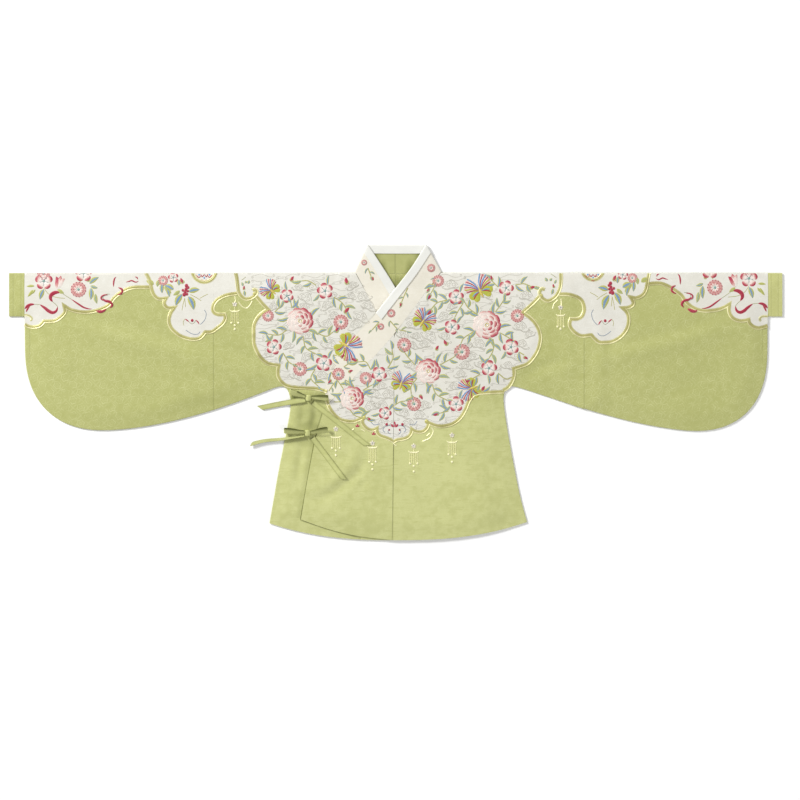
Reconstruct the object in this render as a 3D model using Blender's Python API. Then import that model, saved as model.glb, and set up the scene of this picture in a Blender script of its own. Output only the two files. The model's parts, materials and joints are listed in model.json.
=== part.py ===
# A cross-collar short jacket with round pipa sleeves, laid flat on its back with the front upwards.
# Sizes are in millimetres in the jacket's own frame: x from the centre line towards the wearer's
# left, y from the shoulder fold towards the collar. The solids come out in metres, +Z up, with the
# origin under the middle of the jacket.
import math

import bmesh
import bpy
import numpy as np

MM = 0.001

# Cloth
CLOTH = 1.2
GUARD_CLOTH = 1.0
TIE_CLOTH = 1.0
SEAM_GAP = 0.3
COLLAR_SEAM_GAP = 0.35
LAYER_GAP = 0.4
LEAST_GAP = 0.3
FOLD_STEPS = 3
FOLD_INSET = 1.4
CURVE_POINTS = 60
# Height differences below this count as none
LEVEL = 0.002

# Body and sleeves
CUFF_END = {-1: 931.0, 1: 928.5}
SLEEVE_END = 893.5
CUFF_DEPTH = 105.0
SLEEVE_SEAM = {-1: 439.0, 1: 452.0}
ARMPIT = (262.5, 274.5)
UNDERARM_START = (280.0, 271.0)
BACK_CENTRE = -1.7
HEM_DEPTH = 642.6
HEM_RISE = 42.0
HEM_HALF = 310.0
HEM_POWER = 2.55
COLLAR_TOP = 67.9
Y_ORIGIN = (HEM_DEPTH - COLLAR_TOP) / 2

# The sleeve's lowest point, the handles of its underarm curve, and of its round corner
# side: low_x, low_depth, handle_in, handle_out, corner_out, corner_down, corner_end
SLEEVE_CUT = {
    -1: (710.0, 379.5, (370.0, 307.5), (540.0, 376.0), 820.0, 313.0, 190.0),
    1: (722.0, 381.5, (375.0, 298.5), (550.0, 371.0), 826.0, 320.0, 195.0),
}

# depth below the shoulder, distance from the centre on the wearer's right, and on the left
SIDE_SEAM = (
    (291.0, 255.5, 257.5),
    (320.0, 253.5, 259.5),
    (363.0, 261.0, 265.5),
    (411.0, 270.0, 273.5),
    (475.0, 283.0, 285.5),
    (534.0, 293.0, 297.5),
    (600.5, 305.0, 315.0),
)

# Collar legs, from the fold beside the neck to the end under the arm. The seam edge is sewn to
# the fronts, the free edge lies along the neck. The inner leg starts on the wearer's right.
LEG_SEAM = {
    "inner": (
        (-97.9, 1.6), (-67.4, -57.0), (-48.8, -94.3), (-0.5, -187.2), (72.0, -257.0), (168.0, -325.0)
    ),
    "outer": ((107.0, 1.9), (59.0, -62.5), (-19.2, -164.6), (-78.2, -227.1), (-170.0, -322.0)),
}
LEG_FREE = {
    "inner": (
        (-67.4, 67.9), (-55.6, 50.0), (-1.2, -34.9), (50.0, -128.0), (92.0, -178.0), (138.0, -216.0)
    ),
    "outer": (
        (70.0, 67.3), (62.0, 50.0), (-1.2, -34.9), (-48.8, -96.0), (-131.1, -186.5), (-148.0, -205.0)
    ),
}
# Rulings across the collar, as shares of the seam edge's length and of the free edge's length
LEG_RULINGS = (
    (0.0, 0.0),
    (0.105, 0.19),
    (0.215, 0.325),
    (0.327, 0.456),
    (0.437, 0.58),
    (0.518, 0.684),
    (0.60, 0.787),
    (0.681, 0.878),
    (0.765, 0.944),
    (0.877, 0.978),
    (1.0, 1.0),
)
LEG_AT_CENTRE = 4
LEG_END_BULGE = 9.3
# The bulge's share in the last rulings, counted from the leg's end
LEG_END_SHARES = ((1, 1.0), (2, 0.45))
ACROSS_COLLAR = (0.0, 0.36, 0.712, 0.86, 1.0)
GUARD_FROM = 2
GUARD_OFFSET = CLOTH / 2 + SEAM_GAP + GUARD_CLOTH / 2
GUARD_REACH = GUARD_OFFSET + GUARD_CLOTH / 2
NECK_SEAM_Y = -2.0
NECK_CELLS = 6

# Overlap panels: the free edge from the collar's end to the hem, and the hem back to the centre
OVERLAP_EDGE = {
    "outer": ((-170.0, -322.0), (-184.0, -363.0), (-196.3, -411.0), (-211.0, -485.0), (-229.0, -592.6)),
    "inner": ((168.0, -325.0), (182.0, -365.0), (194.0, -411.0), (208.0, -485.0), (224.0, -594.0)),
}
OVERLAP_HEM = {
    "outer": ((-9.2, -642.3), (-90.9, -633.0), (-169.1, -614.7), (-229.0, -592.6)),
    "inner": ((0.2, -641.0), (90.0, -632.0), (166.0, -615.0), (224.0, -594.0)),
}
FRONT_CENTRE_AT_HEM = {"inner": -0.5, "outer": -8.9}

# Cells of the cloth grids
ROWS_UPPER = 9
ROWS_LOWER = 12
SLEEVE_STATIONS = 17
ARM_CELLS = 6
SHOULDER_CELLS = 5
OVERLAP_ROWS = 11

# How the front layers lie: air under them away from the edges, and their largest soft ridges
PUFF = 1.5
PUFF_WIDTH = 75.0
# x and y at both ends, height, half width
RIDGES = (
    (-785.0, -125.0, -455.0, -200.0, 1.6, 42.0),
    (-640.0, -300.0, -390.0, -262.0, 1.1, 34.0),
    (736.0, -135.0, 400.0, -226.0, 1.6, 42.0),
    (640.0, -305.0, 420.0, -262.0, 1.1, 34.0),
    (150.0, -330.0, 240.0, -540.0, 1.2, 38.0),
    (-90.0, -520.0, -200.0, -560.0, 1.0, 30.0),
)

# Ties
TIE_WIDTH = 12.5
TIE_ROOT = 6.5
TIE_CELL = 9.0
TIE_COVER = 9.0
KNOT_SIZE = (14.0, 15.5, 9.0)
KNOT_COVER = 6.0
KNOT_SQUARENESS = 0.55
KNOT = {"upper": (-211.0, -300.8), "lower": (-212.9, -385.2)}
# Stems: from the seam to the knot's side
STEMS = (
    ("tie_upper_stem_right", (-251.0, -290.5), (-218.5, -299.0)),
    ("tie_upper_stem_left", (-169.0, -299.0), (-203.5, -301.0)),
    ("tie_lower_stem_right", (-262.0, -381.0), (-220.4, -384.5)),
    ("tie_lower_stem_left", (-192.5, -383.0), (-205.4, -384.5)),
)
# Tails: route from the knot, rolls at both ends in degrees, widths there, slant of the end cut
TAILS = (
    (
        "tie_upper_tail_right",
        ((-219.0, -304.5), (-270.0, -313.2), (-328.2, -324.8)),
        (4.0, 3.0), (12.5, 12.0), -5.5,
    ),
    (
        "tie_upper_tail_left",
        ((-199.5, -312.5), (-150.0, -351.0), (-70.3, -414.3)),
        (3.0, 3.0), (12.5, 12.5), 6.0,
    ),
    (
        "tie_lower_tail_right",
        ((-221.0, -391.0), (-268.0, -398.8), (-330.0, -406.2), (-349.0, -411.8)),
        (38.0, 24.0), (6.0, 9.0), 4.0,
    ),
    (
        "tie_lower_tail_left",
        ((-200.5, -397.5), (-165.0, -444.0), (-125.8, -495.6)),
        (3.0, 3.0), (12.5, 12.5), 5.0,
    ),
)
# Loops: root beside the knot, tip, half opening, roll in degrees
LOOPS = (
    ("tie_upper_loop_right", (-218.1, -297.0), (-256.0, -284.0), 2.8, 30.0),
    ("tie_upper_loop_left", (-203.4, -298.0), (-163.0, -300.5), 2.2, 26.0),
    ("tie_lower_loop_right", (-220.5, -382.0), (-269.5, -379.0), 2.8, 30.0),
    ("tie_lower_loop_left", (-205.3, -382.5), (-164.0, -376.5), 2.8, 30.0),
)
LOOP_LIFT_AT_KNOT = 4.2

# Colours, roughness
GREEN = ((0.59, 0.60, 0.27, 1.0), 0.62)
IVORY = ((0.83, 0.81, 0.76, 1.0), 0.62)
WHITE = ((0.93, 0.93, 0.93, 1.0), 0.55)


def smoothstep(value):
    t = np.clip(value, 0.0, 1.0)
    return t * t * (3.0 - 2.0 * t)


def bezier(start, handle_a, handle_b, end, count=CURVE_POINTS):
    t = np.linspace(0.0, 1.0, count)[:, None]
    a, b, c, d = (np.array(p, float) for p in (start, handle_a, handle_b, end))
    return (1 - t) ** 3 * a + 3 * (1 - t) ** 2 * t * b + 3 * (1 - t) * t**2 * c + t**3 * d


def running_length(points):
    return np.concatenate([[0.0], np.cumsum(np.linalg.norm(np.diff(points, axis=0), axis=1))])


def at_shares(points, shares):
    """Points of a polyline at shares of its length."""
    run = running_length(points)
    want = np.asarray(shares, float) * run[-1]
    return np.stack([np.interp(want, run, points[:, k]) for k in range(points.shape[1])], axis=1)


def through(points, per_span=16):
    """A smooth curve through a few points."""
    p = np.array(points, float)
    run = running_length(p)
    slope = np.gradient(p, run, axis=0, edge_order=1)
    out = [p[:1]]
    for i in range(len(p) - 1):
        span = run[i + 1] - run[i]
        handle_a = p[i] + slope[i] * span / 3
        handle_b = p[i + 1] - slope[i + 1] * span / 3
        out.append(bezier(p[i], handle_a, handle_b, p[i + 1], per_span + 1)[1:])
    return np.vstack(out)


def unit(vectors):
    vectors = np.asarray(vectors, float)
    return vectors / np.linalg.norm(vectors, axis=-1, keepdims=True)


def outward_of(points, inside):
    """Unit vectors in the plan, square to a row of points and away from a point inside."""
    tangent = unit(np.gradient(points, axis=0))
    normal = np.stack([tangent[:, 1], -tangent[:, 0]], axis=1)
    if np.sum(normal * (points - np.asarray(inside, float))) < 0:
        normal = -normal
    return normal


def coons(top, bottom, first, last):
    """A grid of plan points between four rows that share their corners."""
    rows, columns = len(first), len(top)
    w = np.linspace(0, 1, rows)[:, None, None]
    u = np.linspace(0, 1, columns)[None, :, None]
    sides = (1 - u) * first[:, None] + u * last[:, None]
    ends = (1 - w) * top[None] + w * bottom[None]
    corners = (1 - w) * ((1 - u) * top[0] + u * top[-1]) + w * ((1 - u) * bottom[0] + u * bottom[-1])
    return sides + ends - corners


def hem_y(x):
    return -HEM_DEPTH + HEM_RISE * (np.abs(x) / HEM_HALF) ** HEM_POWER


class Sheet:
    """A cut piece of cloth as a mid-surface: plan points, heights, normals and four-sided cells."""

    def __init__(self, name, thickness=CLOTH):
        self.name = name
        self.thickness = thickness
        self.xy = np.zeros((0, 2))
        self.z = np.zeros(0)
        self.normal = np.zeros((0, 3))
        self.below = np.zeros(0)
        self.cells = []
        self.folds = []

    def points(self, xy, up=1.0, below=None):
        xy = np.asarray(xy, float)
        first = len(self.xy)
        count = int(np.prod(xy.shape[:-1]))
        self.xy = np.vstack([self.xy, xy.reshape(-1, 2)])
        self.z = np.concatenate([self.z, np.zeros(count)])
        self.normal = np.vstack([self.normal, np.tile((0.0, 0.0, up), (count, 1))])
        depth = np.full(count, self.thickness / 2) if below is None else np.ravel(below)
        self.below = np.concatenate([self.below, depth])
        return np.arange(first, first + count).reshape(xy.shape[:-1])

    def patch(self, index):
        index = np.asarray(index)
        for i in range(index.shape[0] - 1):
            for j in range(index.shape[1] - 1):
                self.cells.append((index[i, j], index[i, j + 1], index[i + 1, j + 1], index[i + 1, j]))

    def fold(self, front, back, outward):
        """Carry the cloth round from a row of the front layer to the same row of the back layer."""
        rows = [front]
        for step in range(1, FOLD_STEPS):
            row = self.points(self.xy[front])
            self.folds.append((row, front, back, outward, math.pi / 2 - math.pi * step / FOLD_STEPS))
            rows.append(row)
        rows.append(back)
        self.patch(np.array(rows))
        return rows[1:-1]

    def close_folds(self):
        for row, front, back, outward, angle in self.folds:
            radius = (self.z[front] - self.z[back]) / 2
            self.xy[row] = self.xy[front] + outward * (radius * math.cos(angle))[:, None]
            self.z[row] = (self.z[front] + self.z[back]) / 2 + radius * math.sin(angle)
            flat = np.asarray(outward, float) * math.cos(angle)
            self.normal[row] = np.column_stack([flat, np.full(len(row), math.sin(angle))])

    def cells_of(self, index):
        inside = np.zeros(len(self.xy), bool)
        inside[np.ravel(index)] = True
        cells = np.array(self.cells)
        return cells[inside[cells].all(axis=1)]


class Table:
    """The heights of all that is laid out so far, on a fine grid over the table."""

    STEP = 3.0
    LOW = (-960.0, -680.0)
    HIGH = (960.0, 110.0)

    def __init__(self):
        size = [int((h - l) / self.STEP) + 1 for l, h in zip(self.LOW, self.HIGH)]
        self.top = np.zeros(size)

    def cell(self, xy):
        at = (xy - np.array(self.LOW)) / self.STEP
        return np.clip(np.rint(at).astype(int), 0, np.array(self.top.shape) - 1)

    def read(self, field, xy):
        at = np.clip((xy - np.array(self.LOW)) / self.STEP, 0, np.array(field.shape) - 1.001)
        i = at.astype(int)
        f = at - i
        x, y = i[..., 0], i[..., 1]
        near = field[x, y] * (1 - f[..., 1]) + field[x, y + 1] * f[..., 1]
        far = field[x + 1, y] * (1 - f[..., 1]) + field[x + 1, y + 1] * f[..., 1]
        return near * (1 - f[..., 0]) + far * f[..., 0]

    @staticmethod
    def spread(field, reach, keep):
        """The greatest value (keep is np.maximum) or the least within a reach in cells."""
        for axis in (0, 1):
            out = field.copy()
            for shift in range(1, reach + 1):
                for way in (-shift, shift):
                    moved = np.roll(field, way, axis)
                    out = keep(out, moved)
            field = out
        return field

    @staticmethod
    def blur(field, reach):
        for axis in (0, 1):
            total = field.copy()
            for shift in range(1, reach + 1):
                total = total + np.roll(field, shift, axis) + np.roll(field, -shift, axis)
            field = total / (2 * reach + 1)
        return field

    def cover(self, reach=24.0):
        """A soft surface over everything laid out so far, nowhere below it."""
        cells = max(2, int(round(reach / self.STEP)))
        field = self.spread(self.top, cells, np.maximum)
        return self.blur(self.blur(field, cells // 2), cells // 2)

    @staticmethod
    def samples(corners, count):
        t = np.linspace(0.0, 1.0, count)
        u, v = (g.ravel() for g in np.meshgrid(t, t))
        weights = np.stack([(1 - u) * (1 - v), u * (1 - v), u * v, (1 - u) * v])
        return np.einsum("ks,qkd->qsd", weights, corners)

    def stamp(self, sheet, index, above=None):
        cells = sheet.cells_of(index)
        tops = sheet.z + (sheet.thickness / 2 if above is None else above)
        corners = np.concatenate([sheet.xy[cells], tops[cells][..., None]], axis=2)
        spots = self.samples(corners, 16).reshape(-1, 3)
        at = self.cell(spots[:, :2])
        np.maximum.at(self.top, (at[:, 0], at[:, 1]), spots[:, 2])

    def lay(self, sheet, index, cover, natural=None):
        """Set the heights of some of a sheet's points so that they clear what lies below."""
        flat = np.ravel(index)
        spot = sheet.xy[flat]
        height = self.read(cover, spot) + LAYER_GAP + sheet.below[flat]
        if natural is not None:
            height = np.maximum(height, self.read(natural, spot))
        sheet.z[flat] = height
        self.lift(sheet, index)

    def lift(self, sheet, index):
        cells = sheet.cells_of(index)
        near = self.spread(self.top, 1, np.maximum)
        for _ in range(10):
            under = sheet.z - sheet.below
            corners = np.concatenate([sheet.xy[cells], under[cells][..., None]], axis=2)
            spots = self.samples(corners, 9)
            at = self.cell(spots[..., :2])
            lack = (near[at[..., 0], at[..., 1]] + LEAST_GAP - spots[..., 2]).max(axis=1)
            if lack.max() < LEVEL:
                break
            raised = np.zeros(len(sheet.z))
            np.maximum.at(raised, cells.ravel(), np.repeat(np.maximum(lack, 0.0), 4))
            sheet.z += raised


def natural_heights(table):
    """How high a front layer lies of itself: flat at the edges, a little air and soft ridges inside."""
    depth = np.zeros(table.top.shape)
    solid = (table.top > 0).astype(float)
    steps = int(PUFF_WIDTH / table.STEP)
    for step in range(steps):
        depth += solid
        if step % 2:
            solid = table.spread(solid, 1, np.minimum)
        else:
            beside = np.minimum(np.roll(solid, 1, 0), np.roll(solid, -1, 0))
            above = np.minimum(np.roll(solid, 1, 1), np.roll(solid, -1, 1))
            solid = np.minimum(solid, np.minimum(beside, above))
    inside = smoothstep(depth / steps)
    x = table.LOW[0] + table.STEP * np.arange(depth.shape[0])[:, None]
    y = table.LOW[1] + table.STEP * np.arange(depth.shape[1])[None, :]
    air = np.full(depth.shape, PUFF)
    for x0, y0, x1, y1, height, half_width in RIDGES:
        run = np.array((x1 - x0, y1 - y0))
        along = ((x - x0) * run[0] + (y - y0) * run[1]) / (run @ run)
        beside = ((x - x0) * run[1] - (y - y0) * run[0]) / np.linalg.norm(run)
        ends = smoothstep(along / 0.3 + 0.6) * smoothstep((1 - along) / 0.3 + 0.6)
        air += height * ends * np.exp(-((beside / half_width) ** 2))
    return table.blur(CLOTH * 1.5 + LAYER_GAP + inside * air, 4)


def underarm_line(side):
    """The sleeve's lower outline from near the armpit to the cuff, as distance and depth."""
    low_x, low_depth, handle_in, handle_out, corner_out, corner_down, corner_end = SLEEVE_CUT[side]
    arm = bezier(UNDERARM_START, handle_in, handle_out, (low_x, low_depth))
    corner_start = (low_x, low_depth)
    corner_finish = (SLEEVE_END, corner_end)
    corner = bezier(corner_start, (corner_out, low_depth), (SLEEVE_END, corner_down), corner_finish)
    return np.vstack([arm, corner[1:], [(SLEEVE_END, CUFF_DEPTH)]])


def to_plan(points, side):
    return np.asarray(points, float) * (side, -1.0)


def tube_rows(tops, bottoms, rows):
    """Plan rows between an upper and a lower edge, as a grid of rows by stations."""
    share = np.linspace(0, 1, rows + 1)[:, None, None]
    return (1 - share) * tops[None] + share * bottoms[None]


def sleeve_sheet(name, side):
    line = underarm_line(side)
    start = SLEEVE_SEAM[side] + SEAM_GAP / 2
    past = line[line[:, 0] >= start]
    arm = line[:CURVE_POINTS]
    depth = np.interp(start, arm[:, 0], arm[:, 1])
    outline = np.vstack([[(start, depth)], past])
    stations = at_shares(outline, np.linspace(0, 1, SLEEVE_STATIONS + 1))
    bottoms = to_plan(stations, side)
    outward = outward_of(bottoms, (side * 650.0, -150.0))
    outward[0] = (0.0, -1.0)
    outward[-1] = (0.0, -1.0)
    bottoms = bottoms - outward * FOLD_INSET
    top_x = side * np.linspace(start, SLEEVE_END, SLEEVE_STATIONS + 1)
    tops = np.stack([top_x, np.full(len(top_x), -FOLD_INSET)], axis=1)
    sheet = Sheet(name)
    plan = tube_rows(tops, bottoms, ROWS_UPPER)
    return close_tube(sheet, plan, outward)


def cuff_sheet(name, side):
    x = side * np.linspace(SLEEVE_END + SEAM_GAP, CUFF_END[side], 3)
    tops = np.stack([x, np.full(3, -FOLD_INSET)], axis=1)
    bottoms = np.stack([x, np.full(3, FOLD_INSET - CUFF_DEPTH)], axis=1)
    return close_tube(Sheet(name), tube_rows(tops, bottoms, 4), np.tile((0.0, -1.0), (3, 1)))


def close_tube(sheet, plan, outward):
    front = sheet.points(plan)
    back = sheet.points(plan, up=-1.0)
    sheet.patch(front)
    sheet.patch(back)
    sheet.fold(front[-1], back[-1], outward)
    sheet.fold(front[0], back[0], np.tile((0.0, 1.0), (plan.shape[1], 1)))
    sheet.front = front
    sheet.back = back
    return sheet


def leg_edges(leg):
    seam = at_shares(through(LEG_SEAM[leg]), [row[0] for row in LEG_RULINGS])
    free = at_shares(through(LEG_FREE[leg]), [row[1] for row in LEG_RULINGS])
    return seam, free


def body_sheet(name, side, leg):
    """Back, shoulder fold, upper sleeve and front of one half, cut as one piece and sewn at the side."""
    seam, _ = leg_edges(leg)
    neck = seam[: LEG_AT_CENTRE + 1]
    line = underarm_line(side)[:CURVE_POINTS]
    arm_x = np.linspace(SLEEVE_SEAM[side] - SEAM_GAP / 2, UNDERARM_START[0], ARM_CELLS)
    arm = np.stack([arm_x, np.interp(arm_x, line[:, 0], line[:, 1])], axis=1)
    seam_side = np.array([(row[1] if side < 0 else row[2], row[0]) for row in SIDE_SEAM])
    side_line = through(np.vstack([[ARMPIT], seam_side]))
    corner = side_line[-1]
    side_line[-1] = (corner[0], -hem_y(corner[0]))
    side_points = at_shares(side_line, np.linspace(0, 1, ROWS_LOWER + 1))
    outline = to_plan(np.vstack([arm, side_points]), side)
    outward = outward_of(outline, (0.0, -200.0))
    outward[0] = (0.0, -1.0)
    inset = outline - outward * FOLD_INSET
    arm_low = inset[: ARM_CELLS + 1]
    side_low = inset[ARM_CELLS:]
    shoulder_x = np.linspace(arm_low[-1][0], neck[0][0], SHOULDER_CELLS + 1)[1:]
    sheet = Sheet(name)
    grids = {}
    for layer, up in (("front", 1.0), ("back", -1.0)):
        if up > 0:
            centre_x = neck[-1][0] + side * SEAM_GAP / 2
            neck_x = np.append(neck[1:-1, 0], centre_x)
            neck_y = neck[1:, 1]
            hem_x = FRONT_CENTRE_AT_HEM[leg] + side * SEAM_GAP / 2
        else:
            centre_x = BACK_CENTRE + side * SEAM_GAP / 2
            scale = (centre_x - neck[0][0]) / (neck[-1][0] - neck[0][0])
            neck_x = neck[0][0] + (neck[1:, 0] - neck[0][0]) * scale
            neck_y = np.full(len(neck) - 1, NECK_SEAM_Y)
            hem_x = centre_x
        fold_x = np.append(arm_low[:, 0], shoulder_x)
        shoulder = np.stack([fold_x, np.full(len(fold_x), -FOLD_INSET)], axis=1)
        tops = np.vstack([shoulder, np.stack([neck_x, neck_y], axis=1)])
        level_x = tops[ARM_CELLS + 1 :, 0]
        level = np.stack([level_x, np.full(len(level_x), side_low[0][1])], axis=1)
        bottoms = np.vstack([arm_low, level])
        upper = sheet.points(tube_rows(tops, bottoms, ROWS_UPPER), up)
        row = bottoms[ARM_CELLS:]
        hem_share = (row[:, 0] - row[0][0]) / (row[-1][0] - row[0][0])
        hem = side_low[-1][0] + (hem_x - side_low[-1][0]) * hem_share
        hem_row = np.stack([hem, hem_y(hem)], axis=1)
        hem_row[0] = side_low[-1]
        centre = at_shares(np.array([row[-1], hem_row[-1]]), np.linspace(0, 1, ROWS_LOWER + 1))
        plan = coons(row, hem_row, side_low, centre)
        lower = np.vstack([upper[-1, ARM_CELLS:], sheet.points(plan[1:], up)])
        sheet.patch(upper)
        sheet.patch(lower)
        grids[layer] = (upper, lower)
    front_upper, front_lower = grids["front"]
    back_upper, back_lower = grids["back"]
    front_edge = np.concatenate([front_upper[-1, : ARM_CELLS + 1], front_lower[1:, 0]])
    back_edge = np.concatenate([back_upper[-1, : ARM_CELLS + 1], back_lower[1:, 0]])
    sheet.fold(front_edge, back_edge, outward)
    to_neck = ARM_CELLS + 1 + SHOULDER_CELLS
    sheet.fold(front_upper[0, :to_neck], back_upper[0, :to_neck], np.tile((0.0, 1.0), (to_neck, 1)))
    sheet.front = np.union1d(front_upper, front_lower)
    sheet.back = np.union1d(back_upper, back_lower)
    return sheet


def overlap_sheet(name, side, leg):
    """The panel sewn on at the centre front, under the collar and out to its own free edge."""
    seam, _ = leg_edges(leg)
    top = seam[LEG_AT_CENTRE:].copy()
    edge = through(OVERLAP_EDGE[leg])
    top[0, 0] -= side * SEAM_GAP / 2
    shares = np.linspace(0, 1, OVERLAP_ROWS + 1)
    free = at_shares(edge, shares)
    columns = running_length(top) / running_length(top)[-1]
    hem = at_shares(through(OVERLAP_HEM[leg]), columns)
    hem[0, 0] = FRONT_CENTRE_AT_HEM[leg] - side * SEAM_GAP / 2
    hem[-1] = free[-1]
    centre = at_shares(np.array([top[0], hem[0]]), shares)
    sheet = Sheet(name)
    sheet.front = sheet.points(coons(top, hem, centre, free))
    sheet.patch(sheet.front)
    return sheet


def guard_presence(row):
    """One where the guard is sewn over the collar's free edge, fading out past its end."""
    return float(np.clip(LEG_AT_CENTRE + 1 - row, 0.0, 1.0))


def collar_depths(rows):
    """How much cloth lies on each side of the collar's mid-surface, by ruling and across."""
    across = smoothstep(np.array(ACROSS_COLLAR) / 0.6)
    return np.array([CLOTH / 2 + (GUARD_REACH - CLOTH / 2) * across * guard_presence(r) for r in rows])


def across_band(seam, free, rows):
    """Plan points across the collar for rulings between its seam edge and its free edge."""
    way = unit(free - seam)
    start = seam + outward_of(seam, 2 * seam[2] - free[2]) * COLLAR_SEAM_GAP
    inset = np.array([GUARD_REACH if guard_presence(r) == 1.0 else 0.0 for r in rows])
    end = free - way * inset[:, None]
    share = np.array(ACROSS_COLLAR)[None, :, None]
    return (1 - share) * start[:, None] + share * end[:, None]


def collar_sheet():
    """One band: the inner leg, round behind the neck, and down the outer leg."""
    sheet = Sheet("collar")
    legs = {}
    rows = range(len(LEG_RULINGS))
    across = np.array(ACROSS_COLLAR)
    for leg, side in (("inner", 1.0), ("outer", -1.0)):
        seam, free = leg_edges(leg)
        plan = across_band(seam, free, rows)
        for back_by, weight in LEG_END_SHARES:
            plan[-back_by, :, 0] += side * LEG_END_BULGE * weight * 4 * across * (1 - across)
        legs[leg] = sheet.points(plan, below=collar_depths(rows))
    first = sheet.xy[legs["inner"][0]]
    last = sheet.xy[legs["outer"][0]]
    seam_x = np.linspace(first[0][0], last[0][0], NECK_CELLS + 1)
    seam = np.stack([seam_x, np.full(NECK_CELLS + 1, NECK_SEAM_Y + COLLAR_SEAM_GAP)], axis=1)
    seam[0] = first[0]
    seam[-1] = last[0]
    free = at_shares(np.array([first[-1], last[-1]]), np.linspace(0, 1, NECK_CELLS + 1))
    plan = (1 - across[None, :, None]) * seam[:, None] + across[None, :, None] * free[:, None]
    plan[0] = first
    plan[-1] = last
    back = sheet.points(plan, up=-1.0, below=collar_depths([0] * (NECK_CELLS + 1)))
    sheet.patch(legs["inner"])
    sheet.patch(legs["outer"])
    sheet.patch(back)
    band = list(legs["inner"][: LEG_AT_CENTRE + 1][::-1])
    for leg, at, side in (("inner", 0, -1.0), ("outer", -1, 1.0)):
        ruling = unit(sheet.xy[legs[leg][0][-1]] - sheet.xy[legs[leg][0][0]])
        square = np.array((ruling[1], -ruling[0]))
        square = square if square[0] * side > 0 else -square
        turned = sheet.fold(legs[leg][0], back[at], np.tile(square, (len(across), 1)))
        if leg == "inner":
            band += turned + list(back)
        else:
            band += turned[::-1]
    band += list(legs["outer"][: LEG_AT_CENTRE + 1])
    sheet.inner = legs["inner"]
    sheet.outer = legs["outer"]
    sheet.back = back
    sheet.band = np.array(band)
    return sheet


def guard_sheet(collar):
    """The white guard folded over the collar's free edge, made from the collar's own points."""
    guard = Sheet("collar_guard", GUARD_CLOTH)
    rows = []
    turns = [math.pi / 2 - math.pi * step / 4 for step in range(5)]
    for row in collar.band:
        place = np.column_stack([collar.xy[row], collar.z[row]])
        normal = collar.normal[row]
        beyond = unit(place[-1] - place[-2])
        outer = [place[k] + normal[k] * GUARD_OFFSET for k in range(GUARD_FROM, len(row) - 1)]
        inner = [place[k] - normal[k] * GUARD_OFFSET for k in range(len(row) - 2, GUARD_FROM - 1, -1)]
        turn_normals = [beyond * math.cos(a) + normal[-1] * math.sin(a) for a in turns]
        turn = [place[-1] + n * GUARD_OFFSET for n in turn_normals]
        flat = [normal[k] for k in range(GUARD_FROM, len(row) - 1)]
        points = np.array(outer + turn + inner)
        normals = np.array(flat + turn_normals + [-n for n in flat[::-1]])
        index = guard.points(points[:, :2])
        guard.z[index] = points[:, 2]
        guard.normal[index] = normals
        rows.append(index)
    guard.patch(np.array(rows))
    return guard


def ribbon_sheet(name, centres, sides, widths):
    """A tie's stretch from its centre line, the unit vectors across it and its widths."""
    sheet = Sheet(name, TIE_CLOTH)
    centres = np.asarray(centres, float)
    along = unit(np.gradient(centres, axis=0))
    normals = unit(np.cross(along, sides))
    index = []
    for centre, side, normal, width in zip(centres, sides, normals, widths):
        points = np.array([centre + side * width * s for s in (-0.5, 0.0, 0.5)])
        row = sheet.points(points[:, :2])
        sheet.z[row] = points[:, 2]
        sheet.normal[row] = normal
        index.append(row)
    sheet.front = np.array(index)
    sheet.patch(sheet.front)
    return sheet


def flat_ribbon(table, name, route, rolls=(0.0, 0.0), widths=(TIE_WIDTH, TIE_WIDTH), slant=0.0):
    """A stretch of tie that lies on what is below it, rolled about its length if need be."""
    path = through(route)
    run = running_length(path)[-1]
    count = max(3, int(round(run / TIE_CELL)) + 1)
    share = np.linspace(0, 1, count)
    plan = at_shares(path, share)
    along = unit(np.gradient(plan, axis=0))
    square = np.stack([-along[:, 1], along[:, 0]], axis=1)
    roll = np.radians(rolls[0] + (rolls[1] - rolls[0]) * share)
    width = widths[0] + (widths[1] - widths[0]) * share
    sides = np.column_stack([square * np.cos(roll)[:, None], np.sin(roll)])
    cover = table.cover(TIE_COVER)
    height = table.read(cover, plan) + LAYER_GAP + TIE_CLOTH / 2 + np.abs(np.sin(roll)) * width / 2
    sheet = ribbon_sheet(name, np.column_stack([plan, height]), sides, width)
    ends = sheet.front[-1]
    sheet.xy[ends] += along[-1] * np.array([[-slant], [0.0], [slant]])
    table.lift(sheet, sheet.front)
    return sheet


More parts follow.
